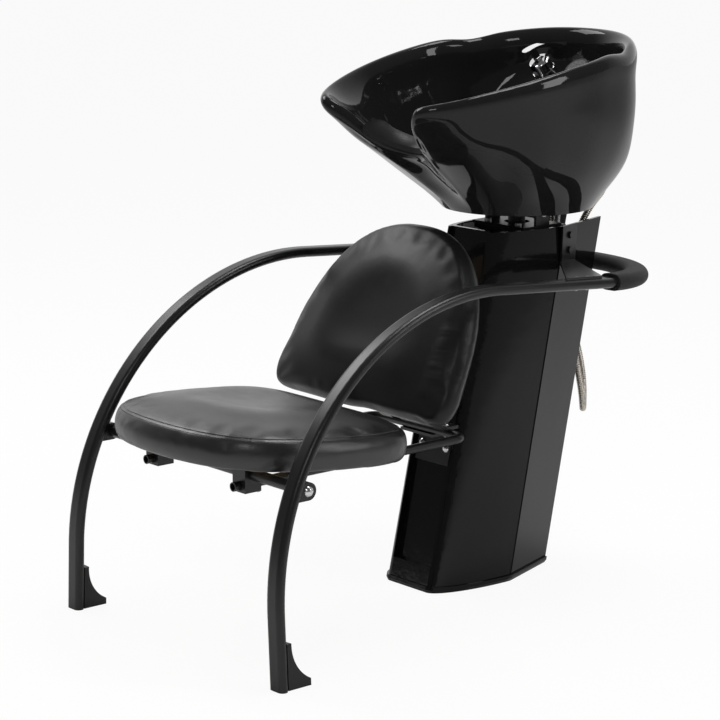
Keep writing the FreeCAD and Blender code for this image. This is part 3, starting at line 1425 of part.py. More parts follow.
def tilt_base_bracket():
    """Fork on the top plate with two ears."""
    low = POST_TOP + TOP_PLATE_THICKNESS
    half = BASE_EAR_X + EAR_THICKNESS
    depth = TILT_BASE_BOLT_Y + TILT_BOLT_HEAD_R * 2
    body = box(V(-half, DRUM_Y - depth, low), V(half, DRUM_Y + depth, BRACKET_TOP))
    body = body.cut(cylinder(V(0, DRUM_Y, low), Z_AXIS, WASTE_HOSE_R + WASTE_CLEAR, BRACKET_PLATE))
    for side in SIDES:
        body = body.fuse(ear(ear_low_x(side, BASE_EAR_X), BRACKET_TOP, HINGE_PIN_R + HINGE_FIT))
    return drilled(body.removeSplitter(), tilt_base_bolts())


def tilt_base_bolts():
    """Bolts that hold the fork to the top plate."""
    bolts = []
    for side in SIDES:
        for end in SIDES:
            base = V(side * TILT_BASE_BOLT_X, DRUM_Y + end * TILT_BASE_BOLT_Y, BRACKET_TOP)
            length = BRACKET_PLATE + TOP_PLATE_THICKNESS + TILT_BOLT_HEAD
            bolts.append(
                hex_bolt(base, Z_AXIS * -1, TILT_BOLT_R, length, TILT_BOLT_HEAD_R, TILT_BOLT_HEAD)
            )
    return bolts


def hinge_pin(side):
    """Headed pin through one pair of ears."""
    outer = V(side * (BASE_EAR_X + EAR_THICKNESS), DRUM_Y, HINGE_Z)
    inward = X_AXIS * -side
    head = cylinder(outer, X_AXIS * side, HINGE_PIN_HEAD_R, HINGE_PIN_HEAD)
    return cylinder(outer, inward, HINGE_PIN_R, HINGE_PIN_LENGTH).fuse(head)


def tilt_cradle():
    """Plate under the bowl's floor with two ears on the hinge pins."""
    low = V(-CRADLE_HALF_WIDTH, DRUM_Y - CRADLE_HALF_DEPTH, CRADLE_TOP - CRADLE_PLATE)
    body = box(low, V(CRADLE_HALF_WIDTH, DRUM_Y + CRADLE_HALF_DEPTH, CRADLE_TOP))
    hole_r = DRAIN_NUT_R + WASTE_CLEAR
    body = body.cut(cylinder(V(0, DRUM_Y, low.z), Z_AXIS, hole_r, CRADLE_PLATE))
    for side in SIDES:
        body = body.fuse(ear(ear_low_x(side, CRADLE_EAR_X), low.z, HINGE_PIN_R + HINGE_FIT))
    return drilled(body.removeSplitter(), cradle_bolts())


def cradle_bolts():
    """Bolts up through the cradle into the bowl's floor."""
    bolts = []
    for side in SIDES:
        for end in SIDES:
            base = V(side * CRADLE_BOLT_X, DRUM_Y + end * CRADLE_BOLT_Y, CRADLE_TOP - CRADLE_PLATE)
            length = CRADLE_PLATE + CRADLE_BOLT_BITE
            bolts.append(hex_bolt(base, Z_AXIS, TILT_BOLT_R, length, TILT_BOLT_HEAD_R, TILT_BOLT_HEAD))
    return bolts


# Tap
TAP_SEAT = deck_seat(TAP_X, BOSS_LIFT)
TAP_TOP = TAP_SEAT + DECK_AXIS * (TAP_BASE + TAP_HEIGHT)
CAP_FOOT = TAP_TOP + DECK_AXIS * GAP
LEVER_PIVOT = CAP_FOOT + DECK_AXIS * (TAP_CAP_HEIGHT * LEVER_PIVOT_SHARE)


def tap_body():
    """Tap column on its base ring, with a threaded shank and a bore for the cap."""
    body = cylinder(TAP_SEAT, DECK_AXIS, TAP_BASE_R, TAP_BASE)
    body = body.fuse(cylinder(TAP_SEAT, DECK_AXIS, TAP_R, TAP_BASE + TAP_HEIGHT))
    body = body.fuse(cylinder(TAP_SEAT, DECK_AXIS * -1, TAP_SHANK_R, TAP_SHANK))
    bore = cylinder(TAP_TOP, DECK_AXIS * -1, CAP_SPIGOT_R + HINGE_FIT, CAP_SPIGOT + GAP)
    return body.cut(bore).removeSplitter()


def tap_cap():
    """Turning cap with a spigot in the column and a slot for the lever's stem."""
    body = cylinder(CAP_FOOT, DECK_AXIS, TAP_CAP_R, TAP_CAP_HEIGHT)
    rim = [
        e
        for e in body.Edges
        if len(e.Vertexes) == 1 and (e.Vertexes[0].Point - CAP_FOOT).dot(DECK_AXIS) > FIT
    ]
    body = body.makeFillet(CAP_ROUND, rim)
    body = body.fuse(cylinder(CAP_FOOT, DECK_AXIS * -1, CAP_SPIGOT_R, CAP_SPIGOT))
    low = -TAP_CAP_HEIGHT * LEVER_PIVOT_SHARE + CAP_FLOOR
    slot = Part.makeBox(
        LEVER_SLOT, TAP_CAP_R * 2, TAP_CAP_HEIGHT * 2,
        V(-LEVER_SLOT / 2, -TAP_CAP_R * 2 + LEVER_SLOT, low)
    )
    slot.Placement = FreeCAD.Placement(LEVER_PIVOT, FreeCAD.Rotation(X_AXIS, DECK_BACK, DECK_AXIS, "ZXY"))
    pin = cylinder(
        LEVER_PIVOT - X_AXIS * (LEVER_SLOT / 2 + OVERRUN / 2), X_AXIS, LEVER_PIN_R, LEVER_SLOT + OVERRUN
    )
    return body.cut(slot).fuse(pin).removeSplitter()


def tap_lever():
    """Arched lever with a thick rounded end, on a stem that turns on the cap's pin."""
    top = LEVER_PIVOT + DECK_AXIS * LEVER_STEM
    nose = top + V(0, -LEVER_NOSE, 0)
    tail = top + V(0, LEVER_TAIL, 0)
    crest = top + V(0, (LEVER_TAIL - LEVER_NOSE) / 2, LEVER_ARCH)
    under = crest - V(0, 0, LEVER_THICKNESS)
    tail_top = tail + V(0, 0, LEVER_END)
    edges = [
        Part.Arc(nose, crest, tail_top).toShape(), Part.makeLine(tail_top, tail),
        Part.Arc(tail, under, nose).toShape(),
    ]
    blade = Part.Face(Part.Wire(edges)).extrude(X_AXIS * LEVER_WIDTH)
    blade.translate(X_AXIS * (-LEVER_WIDTH / 2))
    length = LEVER_NOSE + LEVER_TAIL - LEVER_TRIM
    middle = V(top.x, top.y + (LEVER_TAIL - LEVER_NOSE) / 2, top.z - LEVER_ARCH)
    plan = Part.Face(oval_wire(middle, Y_AXIS, X_AXIS, length, LEVER_WIDTH - LEVER_TRIM)).extrude(
        V(0, 0, LEVER_ARCH * 3)
    )
    blade = blade.common(plan)
    barrel = cylinder(LEVER_PIVOT - X_AXIS * LEVER_STEM_R, X_AXIS, LEVER_STEM_R, LEVER_STEM_R * 2)
    stem = box(
        V(-LEVER_STEM_R, -LEVER_STEM_R, 0), V(LEVER_STEM_R, LEVER_STEM_R, LEVER_STEM + LEVER_STEM_REACH)
    )
    stem = seated(stem, LEVER_PIVOT, DECK_AXIS)
    pin_hole = cylinder(
        LEVER_PIVOT - X_AXIS * LEVER_SLOT, X_AXIS, LEVER_PIN_R + HINGE_FIT, LEVER_SLOT * 2
    )
    return blade.fuse(stem.fuse(barrel)).cut(pin_hole)


# Hand shower
SHOWER_SEAT = deck_seat(SHOWER_X, BOSS_LIFT)
SHOWER_FOOT = SHOWER_SEAT + DECK_AXIS * (GUIDE_FLANGE + GAP)


def hose_guide():
    """Flanged sleeve through the deck that the hand shower stands in."""
    body = cylinder(SHOWER_SEAT, DECK_AXIS, GUIDE_FLANGE_R, GUIDE_FLANGE)
    body = body.fuse(cylinder(SHOWER_SEAT, DECK_AXIS * -1, GUIDE_R, GUIDE_LENGTH))
    start = SHOWER_SEAT - DECK_AXIS * (GUIDE_LENGTH + OVERRUN)
    bore = cylinder(start, DECK_AXIS, FERRULE_R + GAP, GUIDE_LENGTH + GUIDE_FLANGE + OVERRUN * 2)
    return body.cut(bore)


def hose_bore():
    """Bore for the hose up through the ferrule and the handle."""
    start = SHOWER_SEAT - DECK_AXIS * (FERRULE_LENGTH + OVERRUN)
    return cylinder(start, DECK_AXIS, SHOWER_HOSE_R + GAP, FERRULE_LENGTH + OVERRUN + HOSE_INSIDE)


def shower_ferrule():
    """Hollow ferrule over the hose end, sliding in the guide."""
    start = SHOWER_SEAT - DECK_AXIS * FERRULE_LENGTH
    body = cylinder(start, DECK_AXIS, FERRULE_R, FERRULE_LENGTH + GUIDE_FLANGE + GAP)
    return body.cut(hose_bore())


def hand_shower():
    """Hand shower: a waisted handle and a round head, hollow for the hose."""
    steps = [
        (0, 0), (SHOWER_R, 0), (SHOWER_NECK_R, SHOWER_HANDLE),
        (SHOWER_HEAD_R, SHOWER_HANDLE + SHOWER_FLARE),
        (SHOWER_HEAD_R, SHOWER_HANDLE + SHOWER_HEAD), (0, SHOWER_HANDLE + SHOWER_HEAD),
    ]
    points = [V(r, 0, z) for r, z in steps]
    body = Part.Face(Part.makePolygon(points + points[:1])).revolve(V(0, 0, 0), Z_AXIS, 360)
    body = seated(body, SHOWER_FOOT, DECK_AXIS)
    top = SHOWER_FOOT + DECK_AXIS * (SHOWER_HANDLE + SHOWER_HEAD)
    return body.cut(hose_bore()).cut(cylinder(top, DECK_AXIS * -1, SPRAY_R + FIT, SPRAY_DEPTH))


def spray_face():
    """Pierced face in the hand shower's head."""
    top = SHOWER_FOOT + DECK_AXIS * (SHOWER_HANDLE + SHOWER_HEAD)
    face = cylinder(top, DECK_AXIS * -1, SPRAY_R, SPRAY_DEPTH)
    for ring, count in SPRAY_RINGS:
        for step in range(count):
            turn = math.radians(360 * step / count)
            centre = top + (X_AXIS * math.cos(turn) + DECK_BACK * math.sin(turn)) * (SPRAY_R * ring)
            face = face.cut(cylinder(centre, DECK_AXIS * -1, SPRAY_HOLE_R, SPRAY_DEPTH))
    return face


# Hoses
def rounded_path(points):
    """Straight runs joined by arcs that leave a tenth of each run straight."""
    starts, ends, middles, radii = [points[0]], [], [], []
    for before, corner, after in zip(points, points[1:], points[2:]):
        into, out = before - corner, after - corner
        reach = min(into.Length, out.Length) * ARC_SHARE
        half = into.getAngle(out) / 2
        radius = reach * math.tan(half)
        entry = corner + into.normalize() * reach
        leave = corner + out.normalize() * reach
        bisector = (entry + leave) * 0.5 - corner
        middle = corner + bisector.normalize() * (radius / math.sin(half) - radius)
        ends.append(entry)
        starts.append(leave)
        middles.append(middle)
        radii.append(radius)
    ends.append(points[-1])
    edges = []
    for index, (start, end) in enumerate(zip(starts, ends)):
        edges.append(Part.LineSegment(start, end).toShape())
        if index < len(middles):
            edges.append(Part.Arc(end, middles[index], starts[index + 1]).toShape())
    return Part.Wire(edges), min(radii)


def hose(name, points, radius, wall):
    """Hose along a route, with its bore."""
    path, tightest = rounded_path(points)
    axis = points[1] - points[0]
    solids = []
    for r in (radius, radius - wall):
        ring = Part.Wire([Part.Circle(points[0], axis, r).toShape()])
        solids.append(path.makePipeShell([ring], True, False))
    tube = solids[0].cut(solids[1])
    section = math.pi * (radius * radius - (radius - wall) * (radius - wall))
    share = tube.Volume / (section * path.Length)
    print(
        name, "length", round(path.Length), "tightest radius", round(tightest), "volume share",
        round(share, 3)
    )
    return tube


def route(table):
    """Points of a route table."""
    return [V(*row) for row in table]


SHANK_END = TAP_SEAT - DECK_AXIS * TAP_SHANK


def tail_start(across, back):
    """Start of a tail on the underside of the tap's shank, and its first bend."""
    start = SHANK_END + X_AXIS * across + DECK_BACK * back
    return [start, start - DECK_AXIS * TAIL_LEAD + X_AXIS * (across * TAIL_SPREAD_SHARE)]


def shower_hose():
    """Ribbed steel hose from the hand shower down the pedestal and back up to the tap."""
    top = SHOWER_SEAT + DECK_AXIS * (HOSE_INSIDE - FERRULE_WALL)
    low = SHOWER_SEAT - DECK_AXIS * (FERRULE_LENGTH + OVERRUN * 5)
    points = [top, low] + route(SHOWER_HOSE_ROUTE) + list(reversed(tail_start(0, SHOWER_TAIL_BACK)))
    return hose("shower_hose", points, SHOWER_HOSE_R, SHOWER_HOSE_WALL)


def supply_hose(name, side, table):
    """Braided tail from the tap down to an inlet at the pedestal's foot."""
    points = tail_start(side * SUPPLY_TAIL_X, -SUPPLY_TAIL_BACK) + route(table)
    points.append(V(side * INLET_X, INLET_Y, INLET_TOP))
    return hose(name, points, SUPPLY_HOSE_R, SUPPLY_HOSE_WALL)


def waste_hose():
    """Black waste hose from the drain to the outlet at the pedestal's back."""
    points = [V(0, DRUM_Y, FLOOR_Z - DRAIN_TAIL)] + route(WASTE_HOSE_ROUTE)
    points.append(V(0, SERVICE_Y - OUTLET_FLANGE, OUTLET_Z))
    return hose("waste_hose", points, WASTE_HOSE_R, WASTE_HOSE_WALL)


# Services at the pedestal's foot
SHELF_Z = INLET_TOP - INLET_LENGTH / 2


def service_bracket():
    """Bent plate on the floor plate that holds the inlets and the waste outlet."""
    foot_plate = box(
        V(-SERVICE_HALF_WIDTH, SERVICE_Y - SERVICE_FOOT, BASE_THICKNESS),
        V(SERVICE_HALF_WIDTH, SERVICE_Y, BASE_THICKNESS + SERVICE_THICKNESS),
    )
    wall = box(
        V(-SERVICE_HALF_WIDTH, SERVICE_Y, BASE_THICKNESS),
        V(SERVICE_HALF_WIDTH, SERVICE_Y + SERVICE_THICKNESS, SHELF_Z)
    )
    shelf = box(
        V(-SERVICE_HALF_WIDTH, INLET_Y - INLET_NUT_R, SHELF_Z - SERVICE_THICKNESS),
        V(SERVICE_HALF_WIDTH, SERVICE_Y + SERVICE_THICKNESS, SHELF_Z),
    )
    body = foot_plate.fuse(wall).fuse(shelf).removeSplitter()
    for side in SIDES:
        body = body.cut(cylinder(V(side * INLET_X, INLET_Y, 0), Z_AXIS, INLET_R + FIT, INLET_TOP))
    return body.cut(cylinder(V(0, SERVICE_Y, OUTLET_Z), Y_AXIS, WASTE_HOSE_R + FIT, SERVICE_THICKNESS))


def supply_inlet(side):
    """Brass connector through the shelf with its nut below."""
    low = V(side * INLET_X, INLET_Y, INLET_TOP - INLET_LENGTH)
    body = cylinder(low, Z_AXIS, INLET_R, INLET_LENGTH)
    collar = hex_nut(V(low.x, low.y, SHELF_Z), Z_AXIS, INLET_R, INLET_NUT_R, INLET_LENGTH / 2)
    return body.fuse(collar).removeSplitter()


def waste_outlet():
    """Flanged spigot that leaves the pedestal at the back, relieved where it passes the bracket."""
    start = V(0, SERVICE_Y - OUTLET_FLANGE, OUTLET_Z)
    body = cylinder(start, Y_AXIS, OUTLET_FLANGE_R, OUTLET_FLANGE)
    neck = OUTLET_FLANGE + SERVICE_THICKNESS + OUTLET_CLEAR
    body = body.fuse(cylinder(start, Y_AXIS, WASTE_HOSE_R - OUTLET_RELIEF, neck))
    body = body.fuse(cylinder(start + Y_AXIS * neck, Y_AXIS, WASTE_HOSE_R, OUTLET_SPIGOT))
    return body.cut(cylinder(start, Y_AXIS, WASTE_HOSE_R - WASTE_HOSE_WALL, neck + OUTLET_SPIGOT))


EXPORT_DIR = "parts"


def chair_nodes():
    """Arms, loop, feet, crossbar, seat and backrest."""
    nodes = {}
    loop_outer = loop_solid(0, 0)
    foot_screws = [foot_screw(*place) for side in SIDES for place in foot_screw_places(side)]
    seat_pins = seat_screws()
    back_pins = backrest_screws()
    strap_bolts = bracket_bolts()
    for side, word in ((1, "left"), (-1, "right")):
        nodes["arm_tube_" + word] = drilled(arm_tube(side), tab_screws(side))
        nodes["foot_" + word] = foot(side)
        nodes["arm_bracket_" + word] = arm_bracket(side)
    straps = [drilled(backrest_bracket(side), back_pins + strap_bolts) for side in SIDES]
    nodes["backrest_brackets"] = group(straps)
    nodes["rear_loop_tube"] = loop_outer.cut(loop_solid(0, -TUBE_WALL))
    nodes["loop_joint_plugs"] = group([drilled(joint_plug(side), tab_screws(side)) for side in SIDES])
    nodes["rear_grip_sleeve"] = loop_solid(SLEEVE_LEAD, SLEEVE_THICKNESS).cut(loop_outer)
    nodes["foot_screws"] = group(foot_screws)
    nodes["tube_end_caps"] = group([end_cap(side) for side in SIDES])
    nodes["front_crossbar"] = crossbar()
    nodes["crossbar_lugs"] = group([crossbar_lug(side) for side in SIDES])
    nodes["crossbar_bolts"] = group([crossbar_bolt(side) for side in SIDES])
    nodes["crossbar_clamps"] = group([crossbar_clamp(side) for side in SIDES])
    nodes["seat_frame"] = drilled(seat_frame(), strap_bolts)
    nodes["seat_board"] = drilled(seat_board(), seat_pins)
    nodes["seat_cushion"] = seat_cushion()
    nodes["seat_screws"] = group(seat_pins)
    nodes["backrest_board"] = drilled(backrest_board(), back_pins)
    nodes["backrest_cushion"] = backrest_cushion()
    nodes["backrest_screws"] = group(back_pins)
    nodes["bracket_foot_bolts"] = group(strap_bolts)
    nodes["arm_bracket_bolts"] = group([bolt for side in SIDES for bolt in plate_bolts(side)])
    nodes["arm_bracket_screws"] = group([pin for side in SIDES for pin in tab_screws(side)])
    return nodes


def pedestal_nodes():
    """Cover, steelwork, seat stay, tilt fork and services."""
    nodes = {}
    fixings = [bolt for side in SIDES for bolt in plate_bolts(side)] + stay_bolts()
    nodes["pedestal_shell"] = drilled(pedestal_shell(), fixings)
    nodes["pedestal_base_plate"] = base_plate()
    nodes["pedestal_posts"] = group([post(side) for side in SIDES])
    nodes["pedestal_top_plate"] = top_plate()
    nodes["post_cross_plate"] = cross_plate()
    nodes["seat_stay"] = seat_stay()
    nodes["seat_stay_bolts"] = group(stay_bolts())
    nodes["tilt_base_bracket"] = tilt_base_bracket()
    nodes["tilt_base_bolts"] = group(tilt_base_bolts())
    nodes["tilt_hinge_pins"] = group([hinge_pin(side) for side in SIDES])
    nodes["service_bracket"] = service_bracket()
    nodes["supply_inlets"] = group([supply_inlet(side) for side in SIDES])
    nodes["waste_outlet"] = waste_outlet()
    return nodes


def bowl_nodes():
    """Basin, drain, cradle, tap and hand shower."""
    nodes = {}
    nodes["basin"] = basin()
    nodes["neck_rest"] = neck_rest()
    nodes["tilt_cradle"] = tilt_cradle()
    nodes["cradle_bolts"] = group(cradle_bolts())
    nodes["drain_flange"] = drain_flange()
    nodes["drain_body"] = drain_body()
    nut_low = V(0, DRUM_Y, CRADLE_TOP - DRAIN_NUT_HEIGHT)
    nodes["drain_nut"] = hex_nut(nut_low, Z_AXIS, DRAIN_HOLE_R, DRAIN_NUT_R, DRAIN_NUT_HEIGHT)
    nodes["drain_strainer"] = strainer()
    nodes["tap_body"] = tap_body()
    nodes["tap_nut"] = hex_nut(
        deck_seat(TAP_X, -DECK_WALL), DECK_AXIS * -1, TAP_SHANK_R, TAP_NUT_R, TAP_NUT_HEIGHT
    )
    nodes["tap_cap"] = tap_cap()
    nodes["tap_lever"] = tap_lever()
    nodes["hose_guide"] = hose_guide()
    guide_nut_base = deck_seat(SHOWER_X, -DECK_WALL)
    nodes["hose_guide_nut"] = hex_nut(
        guide_nut_base, DECK_AXIS * -1, GUIDE_R, GUIDE_NUT_R, GUIDE_NUT_HEIGHT
    )
    nodes["hand_shower"] = hand_shower()
    nodes["spray_face"] = spray_face()
    nodes["shower_ferrule"] = shower_ferrule()
    return nodes


def hose_nodes():
    """Hoses between the bowl and the pedestal, cut flush with their fittings."""
    nodes = {}
    tap = tap_body()
    nodes["shower_hose"] = shower_hose().cut(tap)
    tails = (("hot_supply_hose", -1, HOT_HOSE_ROUTE), ("cold_supply_hose", 1, COLD_HOSE_ROUTE))
    for name, side, table in tails:
        nodes[name] = supply_hose(name, side, table).cut(tap).cut(supply_inlet(side))
    nodes["waste_hose"] = waste_hose().cut(drain_body())
    return nodes


def main():
    """Build all nodes and write each to its own STEP file."""
    os.makedirs(EXPORT_DIR, exist_ok=True)
    nodes = {}
    for make in (chair_nodes, pedestal_nodes, bowl_nodes, hose_nodes):
        nodes.update(make())
    for name, shape in nodes.items():
        print(name, shape.isValid(), len(shape.Solids), round(shape.Volume))
        shape.exportStep(os.path.join(EXPORT_DIR, name + ".step"))


if __name__ == "__main__":
    main()
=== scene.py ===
"""Looks of a salon backwash unit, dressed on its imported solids."""

from __future__ import annotations

import json
import logging
import math
from dataclasses import dataclass, field
from enum import Enum
from typing import Any, Iterable, Mapping, Sequence

import bpy
from mathutils import Matrix, Vector

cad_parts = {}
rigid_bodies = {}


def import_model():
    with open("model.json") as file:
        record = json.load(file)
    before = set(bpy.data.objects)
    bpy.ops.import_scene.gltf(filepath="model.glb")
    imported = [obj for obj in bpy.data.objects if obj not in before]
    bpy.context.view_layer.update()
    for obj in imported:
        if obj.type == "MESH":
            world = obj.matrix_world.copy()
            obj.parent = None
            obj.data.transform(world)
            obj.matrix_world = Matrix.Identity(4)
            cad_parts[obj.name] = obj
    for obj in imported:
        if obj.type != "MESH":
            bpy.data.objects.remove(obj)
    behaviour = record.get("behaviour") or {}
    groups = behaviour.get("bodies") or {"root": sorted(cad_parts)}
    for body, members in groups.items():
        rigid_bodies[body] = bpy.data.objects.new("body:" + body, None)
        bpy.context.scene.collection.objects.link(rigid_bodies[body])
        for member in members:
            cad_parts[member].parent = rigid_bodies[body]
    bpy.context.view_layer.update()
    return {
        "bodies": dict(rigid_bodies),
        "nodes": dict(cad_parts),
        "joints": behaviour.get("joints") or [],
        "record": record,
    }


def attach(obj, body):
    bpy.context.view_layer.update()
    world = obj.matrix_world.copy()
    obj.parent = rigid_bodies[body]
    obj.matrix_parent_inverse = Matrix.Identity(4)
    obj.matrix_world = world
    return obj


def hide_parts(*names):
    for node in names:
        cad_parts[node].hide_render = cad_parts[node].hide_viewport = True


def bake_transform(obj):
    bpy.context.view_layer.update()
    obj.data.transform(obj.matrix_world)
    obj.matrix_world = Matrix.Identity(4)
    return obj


LOG = logging.getLogger("backwash_unit")
IMAGE_SIDE = 720
Colour = tuple[float, float, float]
Point = tuple[float, float, float]


class Body(Enum):
    """Bodies of the frame that pieces ride on."""

    STAND = "stand"
    BOWL = "bowl"


class Look(Enum):
    """Finishes that a piece can have."""

    BLACK_GLAZE = "black_glaze"
    GLOSS_SHELL = "gloss_shell"
    SATIN_PAINT = "satin_paint"
    SEAT_VINYL = "seat_vinyl"
    BACK_VINYL = "back_vinyl"
    SEAM_THREAD = "seam_thread"
    GRIP_FOAM = "grip_foam"
    CHROME = "chrome"
    RIBBED_STEEL = "ribbed_steel"
    SHOWER_PLASTIC = "shower_plastic"
    SPRAY_PLASTIC = "spray_plastic"
    NECK_RUBBER = "neck_rubber"
    TOE_PLASTIC = "toe_plastic"
    WASTE_PLASTIC = "waste_plastic"
    BRAID = "braid"
    BRASS = "brass"
    BRIGHT_STEEL = "bright_steel"
    ZINC_STEEL = "zinc_steel"
    BLACK_STEEL = "black_steel"
    PLYWOOD = "plywood"


class Link:
    """A node's output that takes part in Python sums."""

    def __init__(self, bench: "Bench", socket: bpy.types.NodeSocket) -> None:
        """Keep the socket and the bench that its nodes stand on."""
        self.bench = bench
        self.socket = socket

    def _sum(self, operation: str, *terms: Any) -> "Link":
        """Add one Math node.

        Args:
            operation: The Math node's operation.
            terms: Links or numbers for its inputs, in order.

        Returns:
            The result.
        """
        return self.bench.node("ShaderNodeMath", {"operation": operation}, dict(enumerate(terms)))

    def __add__(self, other: Any) -> "Link":
        """self + other."""
        return self._sum("ADD", self, other)

    def __radd__(self, other: Any) -> "Link":
        """other + self."""
        return self._sum("ADD", other, self)

    def __sub__(self, other: Any) -> "Link":
        """self - other."""
        return self._sum("SUBTRACT", self, other)

    def __rsub__(self, other: Any) -> "Link":
        """other - self."""
        return self._sum("SUBTRACT", other, self)

    def __mul__(self, other: Any) -> "Link":
        """self * other."""
        return self._sum("MULTIPLY", self, other)

    def __rmul__(self, other: Any) -> "Link":
        """other * self."""
        return self._sum("MULTIPLY", other, self)

    def sine(self) -> "Link":
        """Sine of the value."""
        return self._sum("SINE", self)

    def largest(self, other: Any) -> "Link":
        """The larger of two values."""
        return self._sum("MAXIMUM", self, other)

    def ramp(self, low: float, high: float) -> "Link":
        """Smooth step of the value.

        Args:
            low: Value that gives 0.
            high: Value that gives 1.

        Returns:
            A share from 0 to 1.
        """
        settings = {"interpolation_type": "SMOOTHSTEP"}
        inputs = {"Value": self, "From Min": low, "From Max": high}
        return self.bench.node("ShaderNodeMapRange", settings, inputs)


class Bench:
    """A node tree that is being built."""

    def __init__(self, tree: bpy.types.NodeTree) -> None:
        """Keep the tree."""
        self.tree = tree

    def node(
        self, kind: str, settings: Mapping[str, Any], inputs: Mapping[Any, Any], out: Any = 0
    ) -> Link:
        """Add a node.

        Args:
            kind: The node's type name.
            settings: Its properties, with a ramp's stops under the key stops.
            inputs: Values or links by socket name or number.
            out: Name or number of the output that is returned.

        Returns:
            The chosen output.
        """
        made = self.tree.nodes.new(kind)
        for name, value in settings.items():
            if name == "stops":
                self._stops(made.color_ramp, value)
            else:
                setattr(made, name, value)
        for name, value in inputs.items():
            self.plug(made.inputs[name], value)
        return Link(self, made.outputs[out])

    def plug(self, socket: bpy.types.NodeSocket, value: Any) -> None:
        """Set a socket's number or link it.

        Args:
            socket: The input.
            value: A link, a number or a row of numbers.
        """
        if isinstance(value, Link):
            self.tree.links.new(value.socket, socket)
        elif hasattr(value, "__len__") and len(value) == 3 and len(socket.default_value) == 4:
            socket.default_value = (*value, 1.0)
        else:
            socket.default_value = value

    @staticmethod
    def _stops(ramp: bpy.types.ColorRamp, stops: Sequence[tuple[float, Colour]]) -> None:
        """Give a colour ramp its stops.

        Args:
            ramp: The ramp.
            stops: Place and colour of each stop.
        """
        while len(ramp.elements) < len(stops):
            ramp.elements.new(0.5)
        for element, (place, colour) in zip(ramp.elements, stops):
            element.position = place
            element.color = (*colour, 1.0)

    def place(self) -> Link:
        """Coordinates of the object, in metres."""
        return self.node("ShaderNodeTexCoord", {}, {}, "Object")

    def along(self) -> Link:
        """Coordinates of the piece's own map."""
        return self.node("ShaderNodeTexCoord", {}, {}, "UV")

    def axis(self, vector: Link, name: str) -> Link:
        """One axis of a vector, by the letter X, Y or Z."""
        return self.node("ShaderNodeSeparateXYZ", {}, {0: vector}, name)

    def stretched(self, vector: Link, scale: Point) -> Link:
        """Coordinates scaled along each axis."""
        return self.node("ShaderNodeMapping", {}, {"Vector": vector, "Scale": scale})

    def cloud(self, vector: Link, scale: float, detail: float = 3.0, rough: float = 0.5) -> Link:
        """Soft noise from 0 to 1.

        Args:
            vector: Coordinates.
            scale: Cycles per metre.
            detail: Octaves.
            rough: Strength of the small octaves.

        Returns:
            The noise value.
        """
        inputs = {"Vector": vector, "Scale": scale, "Detail": detail, "Roughness": rough}
        return self.node("ShaderNodeTexNoise", {}, inputs, "Fac")

    def cells(self, vector: Link, scale: float, feature: str = "DISTANCE_TO_EDGE") -> Link:
        """Cell pattern.

        Args:
            vector: Coordinates.
            scale: Cells per metre.
            feature: What the Voronoi node measures.

        Returns:
            The distance.
        """
        inputs = {"Vector": vector, "Scale": scale}
        return self.node("ShaderNodeTexVoronoi", {"feature": feature}, inputs, "Distance")

    def tint(self, share: Any, dark: Colour, pale: Colour) -> Link:
        """Mix of two colours.

        Args:
            share: Share of the pale colour.
            dark: Colour at 0.
            pale: Colour at 1.

        Returns:
            The colour.
        """
        ramp = {"stops": ((0.0, dark), (1.0, pale))}
        return self.node("ShaderNodeValToRGB", ramp, {0: share}, "Color")

    def bump(self, height: Link, depth: float, strength: float = 1.0, under: Link | None = None) -> Link:
        """Relief for a Normal socket.

        Args:
            height: Height from 0 to 1.
            depth: Height of 1, in metres.
            strength: Share of the relief that is used.
            under: Normal of a relief that this one lies on.

        Returns:
            The normal.
        """
        inputs = {"Height": height, "Distance": depth, "Strength": strength}
        if under is not None:
            inputs["Normal"] = under
        return self.node("ShaderNodeBump", {}, inputs)


def shifted(colour: Colour, share: float) -> Colour:
    """Colour made lighter or darker.

    Args:
        colour: Linear colour.
        share: Factor on each channel.

    Returns:
        The changed colour.
    """
    return tuple(min(channel * share, 1.0) for channel in colour)


